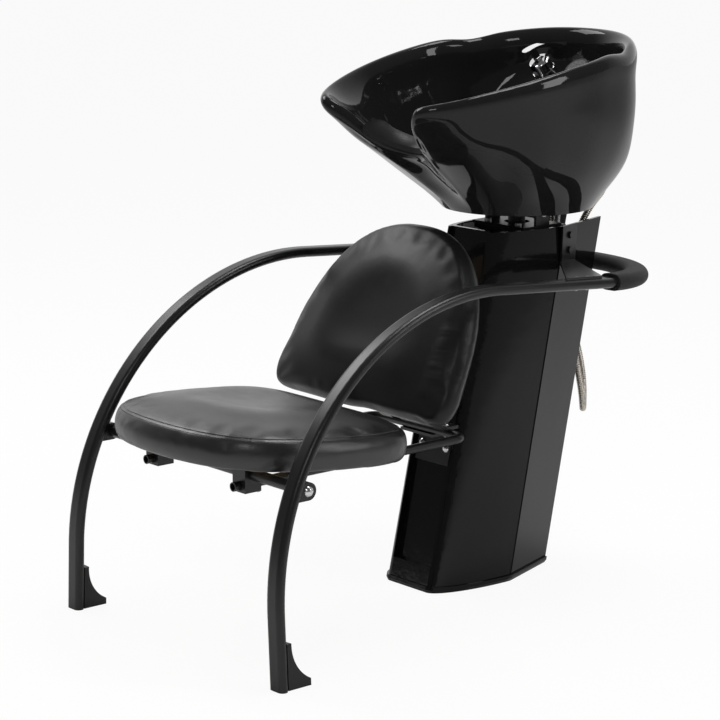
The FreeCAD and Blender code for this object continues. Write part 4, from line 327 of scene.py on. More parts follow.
@dataclass(frozen=True)
class Finish:
    """A surface of one colour with soft changes of tone and gloss and a fine relief."""

    look: Look
    colour: Colour
    roughness: float
    metallic: float = 0.0
    specular: float = 0.5
    tone: float = 0.12
    gloss_change: float = 0.05
    patch: float = 9.0
    grain: float = 900.0
    grain_depth: float = 0.00004
    dust: float = 0.0

    SMEAR_STRETCH = (1.0, 1.6, 0.7)
    SMEARS_PER_PATCH = 2.3
    SPECKS_PER_PATCH = 14.0
    DUST_SLOPE = (0.35, 1.0)
    DUST_SMEAR = (0.35, 0.8)

    def relief(self, bench: Bench, place: Link) -> Link:
        """Normal of the surface.

        Args:
            bench: The material's nodes.
            place: Coordinates of the object.

        Returns:
            The normal.
        """
        return bench.bump(bench.cloud(place, self.grain, 2.0), self.grain_depth)

    def shade(self, bench: Bench, place: Link) -> Link:
        """Share of the pale tone over the surface.

        Args:
            bench: The material's nodes.
            place: Coordinates of the object.

        Returns:
            A share from 0 to 1.
        """
        return bench.cloud(place, self.patch, 4.0, 0.55)

    def make(self) -> bpy.types.Material:
        """Build the material.

        Returns:
            The material.
        """
        material = bpy.data.materials.new(self.look.value)
        material.use_nodes = True
        bench = Bench(material.node_tree)
        shader = material.node_tree.nodes["Principled BSDF"]
        place = bench.place()
        dark = shifted(self.colour, 1 - self.tone)
        pale = shifted(self.colour, 1 + self.tone)
        drawn_out = bench.stretched(place, self.SMEAR_STRETCH)
        smear = bench.cloud(drawn_out, self.patch * self.SMEARS_PER_PATCH, detail=5.0, rough=0.6)
        specks = bench.cloud(place, self.patch * self.SPECKS_PER_PATCH, rough=0.6)
        gloss = self.roughness + (smear - 0.5) * (2 * self.gloss_change) + (specks - 0.5) * self.gloss_change
        if self.dust:
            normal = bench.node("ShaderNodeNewGeometry", {}, {}, "Normal")
            facing = bench.axis(normal, "Z").ramp(*self.DUST_SLOPE)
            gloss = gloss + facing * smear.ramp(*self.DUST_SMEAR) * self.dust
        bench.plug(shader.inputs["Base Color"], bench.tint(self.shade(bench, place), dark, pale))
        bench.plug(shader.inputs["Roughness"], gloss)
        bench.plug(shader.inputs["Normal"], self.relief(bench, place))
        shader.inputs["Metallic"].default_value = self.metallic
        shader.inputs["Specular IOR Level"].default_value = self.specular
        return material


@dataclass(frozen=True)
class VinylFinish(Finish):
    """Coated upholstery cloth with a pressed grain and soft creases."""

    pore: float = 620.0
    pore_depth: float = 0.00016
    crease: float = 16.0
    crease_depth: float = 0.0011
    wrinkle_side: float = 0.0

    PORE_EDGE = 0.45
    PORE_SHARE = 0.6
    FINE_PER_PORE = 1.7
    CREASE_STRETCH = (1.0, 0.6, 0.8)
    WRINKLES = 70.0
    WRINKLE_DEPTH = 0.0030
    WRINKLE_STRETCH = (0.15, 0.35, 1.0)
    WRINKLE_FADE = 0.02
    WRINKLE_START = (0.39, 0.44)
    WRINKLE_END = (0.50, 0.57)

    def relief(self, bench: Bench, place: Link) -> Link:
        """Pressed grain over soft creases, with tight wrinkles on one side wall."""
        pores = bench.cells(place, self.pore).ramp(0.0, self.PORE_EDGE)
        fine = bench.cloud(place, self.pore * self.FINE_PER_PORE, detail=2.0)
        soft = bench.cloud(bench.stretched(place, self.CREASE_STRETCH), self.crease, detail=2.0, rough=0.4)
        grain = bench.bump(pores * self.PORE_SHARE + fine * (1 - self.PORE_SHARE), self.pore_depth, 0.75)
        normal = bench.bump(soft, self.crease_depth, 0.55, under=grain)
        if not self.wrinkle_side:
            return normal
        side = bench.axis(place, "X").ramp(self.wrinkle_side, self.wrinkle_side + self.WRINKLE_FADE)
        height = bench.axis(place, "Z")
        band = side * height.ramp(*self.WRINKLE_START) * (1 - height.ramp(*self.WRINKLE_END))
        stretched = bench.stretched(place, self.WRINKLE_STRETCH)
        folds = bench.cloud(stretched, self.WRINKLES, detail=1.0, rough=0.4)
        return bench.bump(folds * band, self.WRINKLE_DEPTH, 0.6, under=normal)


@dataclass(frozen=True)
class FoamFinish(Finish):
    """Closed-cell foam sleeve: matt, finely pitted."""

    PITS = 700.0
    PIT_EDGE = 0.7
    PIT_SHARE = 0.7
    PIT_DEPTH = 0.0004
    SPECKS = 1900.0

    def relief(self, bench: Bench, place: Link) -> Link:
        """Pits of two sizes."""
        pits = bench.cells(place, self.PITS, "F1").ramp(0.0, self.PIT_EDGE)
        specks = bench.cloud(place, self.SPECKS, detail=2.0)
        return bench.bump(pits * self.PIT_SHARE + specks * (1 - self.PIT_SHARE), self.PIT_DEPTH, 0.8)


@dataclass(frozen=True)
class BrushedFinish(Finish):
    """Metal with fine drawn lines along one axis."""

    drawn: Point = (1.0, 1.0, 0.04)

    LINES = 2600.0
    LINE_DEPTH = 0.00005

    def relief(self, bench: Bench, place: Link) -> Link:
        """Drawn lines."""
        lines = bench.cloud(bench.stretched(place, self.drawn), self.LINES, rough=0.65)
        return bench.bump(lines, self.LINE_DEPTH, 0.6)


@dataclass(frozen=True)
class PlyFinish(Finish):
    """Plywood with its grain along X."""

    FIBRES = 420.0
    FIBRE_STRETCH = (0.05, 1.0, 1.0)
    FIBRE_SHARE = 0.45
    BANDS = 34.0
    BAND_STRETCH = (0.1, 1.0, 1.0)

    def shade(self, bench: Bench, place: Link) -> Link:
        """Long fibres and growth bands."""
        fibres = bench.cloud(bench.stretched(place, self.FIBRE_STRETCH), self.FIBRES, detail=4.0, rough=0.6)
        bands = bench.cloud(bench.stretched(place, self.BAND_STRETCH), self.BANDS)
        return fibres * self.FIBRE_SHARE + bands * (1 - self.FIBRE_SHARE)


@dataclass(frozen=True)
class BraidFinish(Finish):
    """Braided sleeve, woven round the hose on its own map."""

    strands: float = 2200.0
    turns: float = 10.0
    strand_depth: float = 0.0005

    # Share of the colour that is painted highlight on the strand crowns and painted shade in the grooves.
    PAINTED_CROWN_HIGHLIGHT_SHARE = 0.8

    def weave(self, bench: Bench) -> Link:
        """Height of the crossing strands, from 0 to 1."""
        along = bench.along()
        run = bench.axis(along, "X") * self.strands
        around = bench.axis(along, "Y") * (self.turns * math.tau)
        over = (run + around).sine()
        under = (run - around).sine()
        return over.largest(under) * 0.5 + 0.5

    def relief(self, bench: Bench, place: Link) -> Link:
        """Crossing strands."""
        return bench.bump(self.weave(bench), self.strand_depth, 0.8)

    def shade(self, bench: Bench, place: Link) -> Link:
        """Painted highlight on the crowns of the strands and painted shade in the grooves between them, over
        a random tone.
        """
        worn = bench.cloud(place, self.patch)
        # Colour follows the weave's height: painted highlight on the crowns, painted shade in the grooves.
        return self.weave(bench) * self.PAINTED_CROWN_HIGHLIGHT_SHARE + worn * (1 - self.PAINTED_CROWN_HIGHLIGHT_SHARE)


class Palette:
    """All finishes of the unit, each built once."""

    FINISHES: tuple[Finish, ...] = (
        Finish(Look.BLACK_GLAZE, (0.0110, 0.0108, 0.0114), 0.045, specular=0.24, tone=0.10,
               gloss_change=0.012, patch=5.0, grain=70.0, grain_depth=0.00005, dust=0.02),
        Finish(Look.GLOSS_SHELL, (0.0046, 0.0046, 0.0050), 0.075, specular=0.24, tone=0.12, gloss_change=0.02,
               patch=6.0, grain=55.0, grain_depth=0.00012, dust=0.04),
        Finish(Look.SATIN_PAINT, (0.0062, 0.0062, 0.0066), 0.32, specular=0.42, tone=0.14, gloss_change=0.015,
               patch=8.0, grain=160.0, grain_depth=0.000004, dust=0.02),
        VinylFinish(Look.SEAT_VINYL, (0.0078, 0.0074, 0.0080), 0.33, specular=0.72, tone=0.16,
                    gloss_change=0.05, patch=7.0, dust=0.03),
        VinylFinish(Look.BACK_VINYL, (0.0078, 0.0074, 0.0080), 0.37, specular=0.28, tone=0.16,
                    gloss_change=0.05, patch=7.0, wrinkle_side=0.165),
        Finish(Look.SEAM_THREAD, (0.018, 0.0172, 0.018), 0.62, tone=0.2, patch=180.0, grain=2600.0,
               grain_depth=0.0001),
        FoamFinish(Look.GRIP_FOAM, (0.0100, 0.0098, 0.0104), 0.66, specular=0.28, tone=0.18, patch=22.0),
        Finish(Look.CHROME, (0.84, 0.84, 0.85), 0.06, metallic=1.0, tone=0.03, gloss_change=0.025, patch=30.0,
               grain=240.0, grain_depth=0.00002),
        BrushedFinish(Look.RIBBED_STEEL, (0.50, 0.46, 0.41), 0.27, metallic=1.0, tone=0.14, gloss_change=0.06,
                      patch=60.0, drawn=(1.0, 1.0, 1.0)),
        Finish(Look.SHOWER_PLASTIC, (0.0052, 0.0052, 0.0055), 0.14, specular=0.42, tone=0.1,
               gloss_change=0.03, patch=20.0, grain=300.0, grain_depth=0.00003),
        Finish(Look.SPRAY_PLASTIC, (0.030, 0.030, 0.032), 0.5, tone=0.12, patch=60.0, grain=1500.0),
        Finish(Look.NECK_RUBBER, (0.0075, 0.0075, 0.0080), 0.46, specular=0.32, tone=0.15, patch=14.0,
               grain=1500.0, grain_depth=0.00005),
        Finish(Look.TOE_PLASTIC, (0.0068, 0.0068, 0.0072), 0.42, specular=0.38, tone=0.14, patch=30.0,
               grain=1100.0, grain_depth=0.00006, dust=0.1),
        Finish(Look.WASTE_PLASTIC, (0.018, 0.018, 0.020), 0.48, tone=0.12, patch=16.0, grain=900.0),
        # The braid's wide tone sets how strong its painted crown highlight and groove shade are.
        BraidFinish(Look.BRAID, (0.33, 0.33, 0.34), 0.34, metallic=0.8, tone=0.5, patch=40.0),
        Finish(Look.BRASS, (0.66, 0.47, 0.20), 0.26, metallic=1.0, tone=0.12, patch=60.0),
        BrushedFinish(Look.BRIGHT_STEEL, (0.66, 0.66, 0.66), 0.22, metallic=1.0, tone=0.08, patch=80.0),
        BrushedFinish(Look.ZINC_STEEL, (0.52, 0.53, 0.55), 0.36, metallic=1.0, tone=0.16, patch=50.0),
        Finish(Look.BLACK_STEEL, (0.0075, 0.0075, 0.0080), 0.36, specular=0.4, tone=0.14, gloss_change=0.06,
               patch=18.0, grain=700.0, grain_depth=0.00005),
        PlyFinish(Look.PLYWOOD, (0.46, 0.33, 0.20), 0.62, tone=0.3, patch=20.0, grain=500.0,
                  grain_depth=0.0001),
    )

    def __init__(self) -> None:
        """Build each material."""
        self.materials = {finish.look: finish.make() for finish in self.FINISHES}

    def dress(self, piece: bpy.types.Object, look: Look) -> None:
        """Put one finish all over a piece.

        Args:
            piece: A mesh object.
            look: The finish.
        """
        piece.data.materials.clear()
        piece.data.materials.append(self.materials[look])


class Shop:
    """Operators that act on one object at a time."""

    @staticmethod
    def pick(*pieces: bpy.types.Object) -> None:
        """Select these pieces alone, the last of them active.

        Args:
            pieces: Objects to select.
        """
        if bpy.context.object is not None and bpy.context.object.mode != "OBJECT":
            bpy.ops.object.mode_set(mode="OBJECT")
        bpy.ops.object.select_all(action="DESELECT")
        for piece in pieces:
            piece.select_set(True)
            bpy.context.view_layer.objects.active = piece

    @classmethod
    def copy_of(cls, node: bpy.types.Object, name: str) -> bpy.types.Object:
        """Free copy of a node's mesh, with its doubles merged.

        Args:
            node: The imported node.
            name: Name of the copy.

        Returns:
            The copy.
        """
        cls.pick(node)
        bpy.ops.object.duplicate(linked=False)
        piece = bpy.context.object
        for key in list(piece.keys()):
            del piece[key]
        piece.parent = None
        piece.name = name
        piece.data.name = name
        bpy.ops.object.mode_set(mode="EDIT")
        bpy.ops.mesh.select_all(action="SELECT")
        bpy.ops.mesh.remove_doubles(threshold=0.00002)
        bpy.ops.object.mode_set(mode="OBJECT")
        return piece

    @classmethod
    def apply(cls, piece: bpy.types.Object, kind: str, **settings: Any) -> None:
        """Add a modifier with its settings and apply it.

        Args:
            piece: The object.
            kind: The modifier's type.
            settings: Its properties.
        """
        cls.pick(piece)
        modifier = piece.modifiers.new(kind.lower(), kind)
        for name, value in settings.items():
            setattr(modifier, name, value)
        bpy.ops.object.modifier_apply(modifier=modifier.name)

    @classmethod
    def smooth(cls, piece: bpy.types.Object, degrees: float) -> None:
        """Shade a piece smooth but for its sharp edges.

        Args:
            piece: The object.
            degrees: Angle from which an edge stays sharp.
        """
        cls.pick(piece)
        bpy.ops.object.shade_smooth_by_angle(angle=math.radians(degrees))

    @classmethod
    def join(cls, pieces: Sequence[bpy.types.Object], name: str) -> bpy.types.Object:
        """Join pieces into one object with its place in its mesh.

        Args:
            pieces: Mesh objects.
            name: Name of the result.

        Returns:
            The joined object.
        """
        cls.pick(*pieces)
        bpy.ops.object.join()
        piece = bpy.context.object
        bpy.ops.object.transform_apply(location=True, rotation=True, scale=True)
        piece.name = name
        piece.data.name = name
        return piece


@dataclass(frozen=True)
class SoftBox:
    """A rectangular lamp that faces one point."""

    name: str
    place: Point
    aim: Point
    wide: float
    tall: float
    power: float

    def hang(self) -> None:
        """Put the lamp in the scene."""
        data = bpy.data.lights.new(self.name, "AREA")
        data.shape = "RECTANGLE"
        data.size, data.size_y, data.energy = self.wide, self.tall, self.power
        lamp = bpy.data.objects.new(self.name, data)
        lamp.location = self.place
        lamp.rotation_euler = (Vector(self.aim) - Vector(self.place)).to_track_quat("-Z", "Y").to_euler()
        bpy.context.scene.collection.objects.link(lamp)


@dataclass
class Studio:
    """Pale floor, white backdrop, soft lamps and the camera."""

    camera_place: Point = (3.308, -3.133, 1.369)
    azimuth: float = 49.36
    elevation: float = 12.0
    focal_pixels: float = 2510.0
    sensor: float = 36.0
    floor_side: float = 60.0
    ambient: float = 0.45
    room: float = 0.13
    floor_glow: float = 0.92
    floor_gloss: float = 0.08
    floor_colour: Colour = (0.86, 0.86, 0.86)
    floor_roughness: float = 0.7
    floor_specular: float = 0.1
    backdrop_edge: tuple[float, float] = (0.20, 0.80)
    view_end: float = 200.0
    lamps: tuple[SoftBox, ...] = (
        SoftBox("key_box", (-2.4, -0.9, 3.2), (0.0, -0.1, 0.6), 2.0, 1.4, 52.0),
        SoftBox("strip_box", (2.7, 1.2, 1.9), (0.0, 0.05, 0.55), 0.5, 2.0, 22.0),
        SoftBox("top_box", (0.3, 0.6, 3.6), (0.0, 0.1, 0.7), 1.5, 1.1, 44.0),
        SoftBox("front_box", (2.2, -3.2, 2.8), (0.0, -0.3, 0.4), 0.8, 0.8, 16.0),
    )

    def build(self) -> None:
        """Make the floor, the world, the lamps and the camera."""
        bpy.context.scene.view_settings.view_transform = "Standard"
        self.world()
        self.floor()
        for lamp in self.lamps:
            lamp.hang()
        self.camera()

    def mirror_ray(self, bench: Bench) -> Link:
        """1 for rays that show the backdrop in metal or glass, else 0.

        Args:
            bench: A material's or the world's nodes.

        Returns:
            The share.
        """
        gloss = bench.node("ShaderNodeLightPath", {}, {}, "Is Glossy Ray")
        return gloss.largest(bench.node("ShaderNodeLightPath", {}, {}, "Is Transmission Ray"))

    def camera_ray(self, bench: Bench) -> Link:
        """1 for rays from the camera, else 0."""
        return bench.node("ShaderNodeLightPath", {}, {}, "Is Camera Ray")

    def backdrop(self, bench: Bench) -> Link:
        """Share of the white backdrop by direction: 1 behind the unit, 0 on the camera's side.

        Args:
            bench: The world's nodes.

        Returns:
            The share.
        """
        turn = math.radians(self.azimuth)
        way = bench.node("ShaderNodeTexCoord", {}, {}, "Generated")
        depth = bench.axis(way, "Y") * math.cos(turn) - bench.axis(way, "X") * math.sin(turn)
        return depth.ramp(*self.backdrop_edge)

    def world(self) -> None:
        """White backdrop behind the unit, a dim room on the camera's side, soft light all round."""
        world = bpy.data.worlds.new("studio_white")
        world.use_nodes = True
        bpy.context.scene.world = world
        bench = Bench(world.node_tree)
        back = world.node_tree.nodes["Background"]
        back.inputs["Color"].default_value = (1.0, 1.0, 1.0, 1.0)
        camera, mirror = self.camera_ray(bench), self.mirror_ray(bench)
        seen = self.room + self.backdrop(bench) * (1.0 - self.room)
        light = mirror * seen + (1 - mirror) * self.ambient
        bench.plug(back.inputs["Strength"], camera + (1 - camera) * light)

    def floor(self) -> None:
        """Pale floor that keeps a faint shadow."""
        bpy.ops.mesh.primitive_plane_add(size=self.floor_side, location=(0.0, 0.0, 0.0))
        piece = bpy.context.object
        piece.name = "studio_floor"
        material = bpy.data.materials.new("pale_floor")
        material.use_nodes = True
        tree = material.node_tree
        bench = Bench(tree)
        shader = tree.nodes["Principled BSDF"]
        shader.inputs["Base Color"].default_value = (*self.floor_colour, 1.0)
        shader.inputs["Roughness"].default_value = self.floor_roughness
        shader.inputs["Specular IOR Level"].default_value = self.floor_specular
        glow = bench.node("ShaderNodeEmission", {}, {"Color": (1.0, 1.0, 1.0), "Strength": 1.0})
        share = self.camera_ray(bench) * self.floor_glow + self.mirror_ray(bench) * self.floor_gloss
        matt = Link(bench, shader.outputs["BSDF"])
        both = bench.node("ShaderNodeMixShader", {}, {0: share, 1: matt, 2: glow})
        bench.plug(tree.nodes["Material Output"].inputs["Surface"], both)
        piece.data.materials.append(material)

    def camera(self) -> None:
        """Camera at the viewing angle of the picture."""
        data = bpy.data.cameras.new("studio_camera")
        data.sensor_width = self.sensor
        data.lens = self.focal_pixels / IMAGE_SIDE * self.sensor
        data.clip_end = self.view_end
        eye = bpy.data.objects.new("studio_camera", data)
        turn, lift = math.radians(self.azimuth), math.radians(self.elevation)
        back = Vector((math.sin(turn) * math.cos(lift), -math.cos(turn) * math.cos(lift), math.sin(lift)))
        eye.location = self.camera_place
        eye.rotation_mode = "QUATERNION"
        eye.rotation_quaternion = (-back).to_track_quat("-Z", "Y")
        bpy.context.scene.collection.objects.link(eye)
        bpy.context.scene.camera = eye


@dataclass
class HoseRun:
    """One hose on a smooth line through its route."""

    piece: str
    node: str
    route: tuple[Point, ...]
    length: float
    radius: float
    look: Look
    slot: str
    pitch: float = 0.004
    rib: float = 0.0
    step: float = 0.004
    sides: int = 18
    blend_depth: float = 0.2
    stand_height: float = 0.42
    bowl_height: float = 0.80

    LEAST_STEPS = 8
    ROUNDING = 1e-9
    SMOOTH_DEGREES = 60.0

    def spline_points(self) -> list[Vector]:
        """Points read from the route's spline.

        Returns:
            The points, in order.
        """
        data = bpy.data.curves.new(self.piece + "_line", "CURVE")
        data.dimensions = "3D"
        spline = data.splines.new("NURBS")
        spline.points.add(len(self.route) - 1)
        for point, place in zip(spline.points, self.route):
            point.co = (*place, 1.0)
        spline.order_u = 3
        spline.use_endpoint_u = True
        holder = bpy.data.objects.new(self.piece + "_line", data)
        bpy.context.scene.collection.objects.link(holder)
        bpy.context.view_layer.update()
        mesh = bpy.data.meshes.new_from_object(holder.evaluated_get(bpy.context.evaluated_depsgraph_get()))
        points = [vertex.co.copy() for vertex in mesh.vertices]
        bpy.data.meshes.remove(mesh)
        bpy.data.objects.remove(holder)
        bpy.data.curves.remove(data)
        return points

    def even_points(self) -> list[Vector]:
        """Spline points at an even step.

        Returns:
            The points, ends included.
        """
        points = self.spline_points()
        total = sum((b - a).length for a, b in zip(points, points[1:]))
        count = max(self.LEAST_STEPS, round(total / self.step))
        step = total / count
        even, due, run = [points[0]], step, 0.0
        for a, b in zip(points, points[1:]):
            span = (b - a).length
            while due <= run + span + self.ROUNDING and len(even) < count:
                even.append(a.lerp(b, (due - run) / span))
                due += step
            run += span
        even.append(points[-1])
        return even

    def ring_radius(self, distance: float) -> float:
        """Radius of the hose at a distance along it.

        Args:
            distance: Metres from the start.

        Returns:
            The radius, lower in the grooves between ribs.
        """
        if not self.rib:
            return self.radius
        groove = 0.5 + 0.5 * math.cos(distance / self.pitch * math.tau)
        return self.radius - self.rib * groove ** 2

    def tube(self, path: Sequence[Vector]) -> bpy.types.Object:
        """Mesh tube along a path, with a map along and round it.

        Args:
            path: Points of the centre line.

        Returns:
            The tube.
        """
        tangents = [(b - a).normalized() for a, b in zip(path[:1] + path[:-1], path[1:] + path[-1:])]
        tangents[0] = (path[1] - path[0]).normalized()
        tangents[-1] = (path[-1] - path[-2]).normalized()
        normal = tangents[0].orthogonal().normalized()
        verts: list[Vector] = []
        runs: list[float] = []
        run = 0.0
        for index, (place, tangent) in enumerate(zip(path, tangents)):
            if index:
                run += (place - path[index - 1]).length
                normal = (normal - tangent * normal.dot(tangent)).normalized()
            cross = tangent.cross(normal)
            radius = self.ring_radius(run)
            for side in range(self.sides):
                angle = side / self.sides * math.tau
                verts.append(place + (normal * math.cos(angle) + cross * math.sin(angle)) * radius)
            runs.append(run)
        faces: list[tuple[int, ...]] = []
        maps: list[tuple[float, float]] = []
        for ring in range(len(path) - 1):
            for side in range(self.sides):
                after = (side + 1) % self.sides
                low, high = ring * self.sides, (ring + 1) * self.sides
                faces.append((low + side, low + after, high + after, high + side))
                left, right = side / self.sides, (side + 1) / self.sides
                near, far = runs[ring], runs[ring + 1]
                maps += [(near, left), (near, right), (far, right), (far, left)]
        last = (len(path) - 1) * self.sides
        faces.append(tuple(reversed(range(self.sides))))
        faces.append(tuple(range(last, last + self.sides)))
        maps += [(0.0, 0.0)] * self.sides + [(run, 0.0)] * self.sides
        mesh = bpy.data.meshes.new(self.piece)
        mesh.from_pydata([tuple(v) for v in verts], [], faces)
        layer = mesh.uv_layers.new(name="hose_map")
        for loop, place in zip(layer.data, maps):
            loop.uv = place
        mesh.update()
        piece = bpy.data.objects.new(self.piece, mesh)
        bpy.context.scene.collection.objects.link(piece)
        Shop.smooth(piece, self.SMOOTH_DEGREES)
        return piece

    def build(self, palette: Palette) -> bpy.types.Object:
        """Args:
            palette: The unit's finishes.

        Returns:
            The hose.
        """
        path = self.even_points()
        piece = self.tube(path)
        palette.dress(piece, self.look)
        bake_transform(piece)
        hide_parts(self.node)
        return piece


class Hoses:
    """All hoses between the bowl and the pedestal."""

    RUNS: tuple[HoseRun, ...] = (
        HoseRun(
            "shower_hose_ribbed", "shower_hose",
            ((0.0480, 0.2089, 0.9116), (0.0480, 0.2619, 0.8439), (0.0440, 0.2670, 0.7720),
             (0.0410, 0.2870, 0.7060), (0.0380, 0.2460, 0.6720), (0.0340, 0.2210, 0.6340),
             (0.0320, 0.2110, 0.5940), (0.0310, 0.2080, 0.5520), (0.0300, 0.2060, 0.5100),
             (0.0300, 0.2080, 0.4680), (0.0300, 0.2120, 0.4260), (0.0300, 0.2190, 0.3860),
             (0.0310, 0.2290, 0.3470), (0.0290, 0.2400, 0.3110), (0.0210, 0.2520, 0.2820),
             (0.0060, 0.2680, 0.2680), (-0.0090, 0.2850, 0.2800), (-0.0180, 0.2940, 0.3090),
             (-0.0230, 0.2920, 0.3470), (-0.0260, 0.2830, 0.3880), (-0.0280, 0.2680, 0.4280),
             (-0.0300, 0.2500, 0.4680), (-0.0310, 0.2330, 0.5090), (-0.0320, 0.2200, 0.5510),
             (-0.0330, 0.2130, 0.5940), (-0.0340, 0.2170, 0.6370), (-0.0360, 0.2290, 0.6770),
             (-0.0390, 0.2430, 0.7160), (-0.0420, 0.2560, 0.7540), (-0.0450, 0.2670, 0.7970),
             (-0.0460, 0.2711, 0.8435), (-0.0460, 0.2526, 0.8671)),
            1.3425, 0.0065, Look.RIBBED_STEEL, "ribbed_steel", rib=0.0011, step=0.001,
        ),
        HoseRun(
            "hot_supply_tail", "hot_supply_hose",
            ((-0.0525, 0.2432, 0.8597), (-0.0564, 0.2617, 0.8361), (-0.0580, 0.2540, 0.7920),
             (-0.0540, 0.2400, 0.7480), (-0.0480, 0.2220, 0.7060), (-0.0420, 0.2020, 0.6680),
             (-0.0380, 0.1890, 0.6280), (-0.0360, 0.1810, 0.5820), (-0.0350, 0.1720, 0.5360),
             (-0.0340, 0.1620, 0.4880), (-0.0340, 0.1510, 0.4400), (-0.0330, 0.1410, 0.3920),
             (-0.0330, 0.1300, 0.3440), (-0.0320, 0.1200, 0.2960), (-0.0320, 0.1100, 0.2500),
             (-0.0310, 0.1050, 0.2100), (-0.0310, 0.1040, 0.1720)),
            0.7157, 0.0055, Look.BRAID, "braid_rubber",
        ),
        HoseRun(
            "cold_supply_tail", "cold_supply_hose",
            ((-0.0395, 0.2432, 0.8597), (-0.0356, 0.2617, 0.8361), (-0.0300, 0.2540, 0.7920),
             (-0.0220, 0.2400, 0.7480), (-0.0130, 0.2220, 0.7060), (-0.0040, 0.2020, 0.6680),
             (0.0040, 0.1890, 0.6280), (0.0100, 0.1810, 0.5820), (0.0160, 0.1720, 0.5360),
             (0.0210, 0.1620, 0.4880), (0.0250, 0.1510, 0.4400), (0.0280, 0.1410, 0.3920),
             (0.0300, 0.1300, 0.3440), (0.0310, 0.1200, 0.2960), (0.0310, 0.1100, 0.2500),
             (0.0310, 0.1050, 0.2100), (0.0310, 0.1040, 0.1720)),
            0.7194, 0.0055, Look.BRAID, "braid_rubber",
        ),
        HoseRun(
            "waste_hose_black", "waste_hose",
            ((0.0, 0.0900, 0.6750), (0.0, 0.0880, 0.6100), (0.0, 0.0660, 0.4900), (0.0, 0.0300, 0.3700),
             (0.0, 0.0, 0.2850), (0.0, -0.0120, 0.2250), (0.0, -0.0130, 0.1650), (0.0, 0.0130, 0.1190),
             (0.0, 0.0590, 0.0920), (0.0, 0.1080, 0.0920)),
            0.6751, 0.0160, Look.WASTE_PLASTIC, "waste_plastic", sides=28, stand_height=0.30,
            bowl_height=0.66,
        ),
    )

    def build(self, palette: Palette) -> list[bpy.types.Object]:
        """Make every hose.

        Args:
            palette: The unit's finishes.

        Returns:
            The hoses.
        """
        return [run.build(palette) for run in self.RUNS]


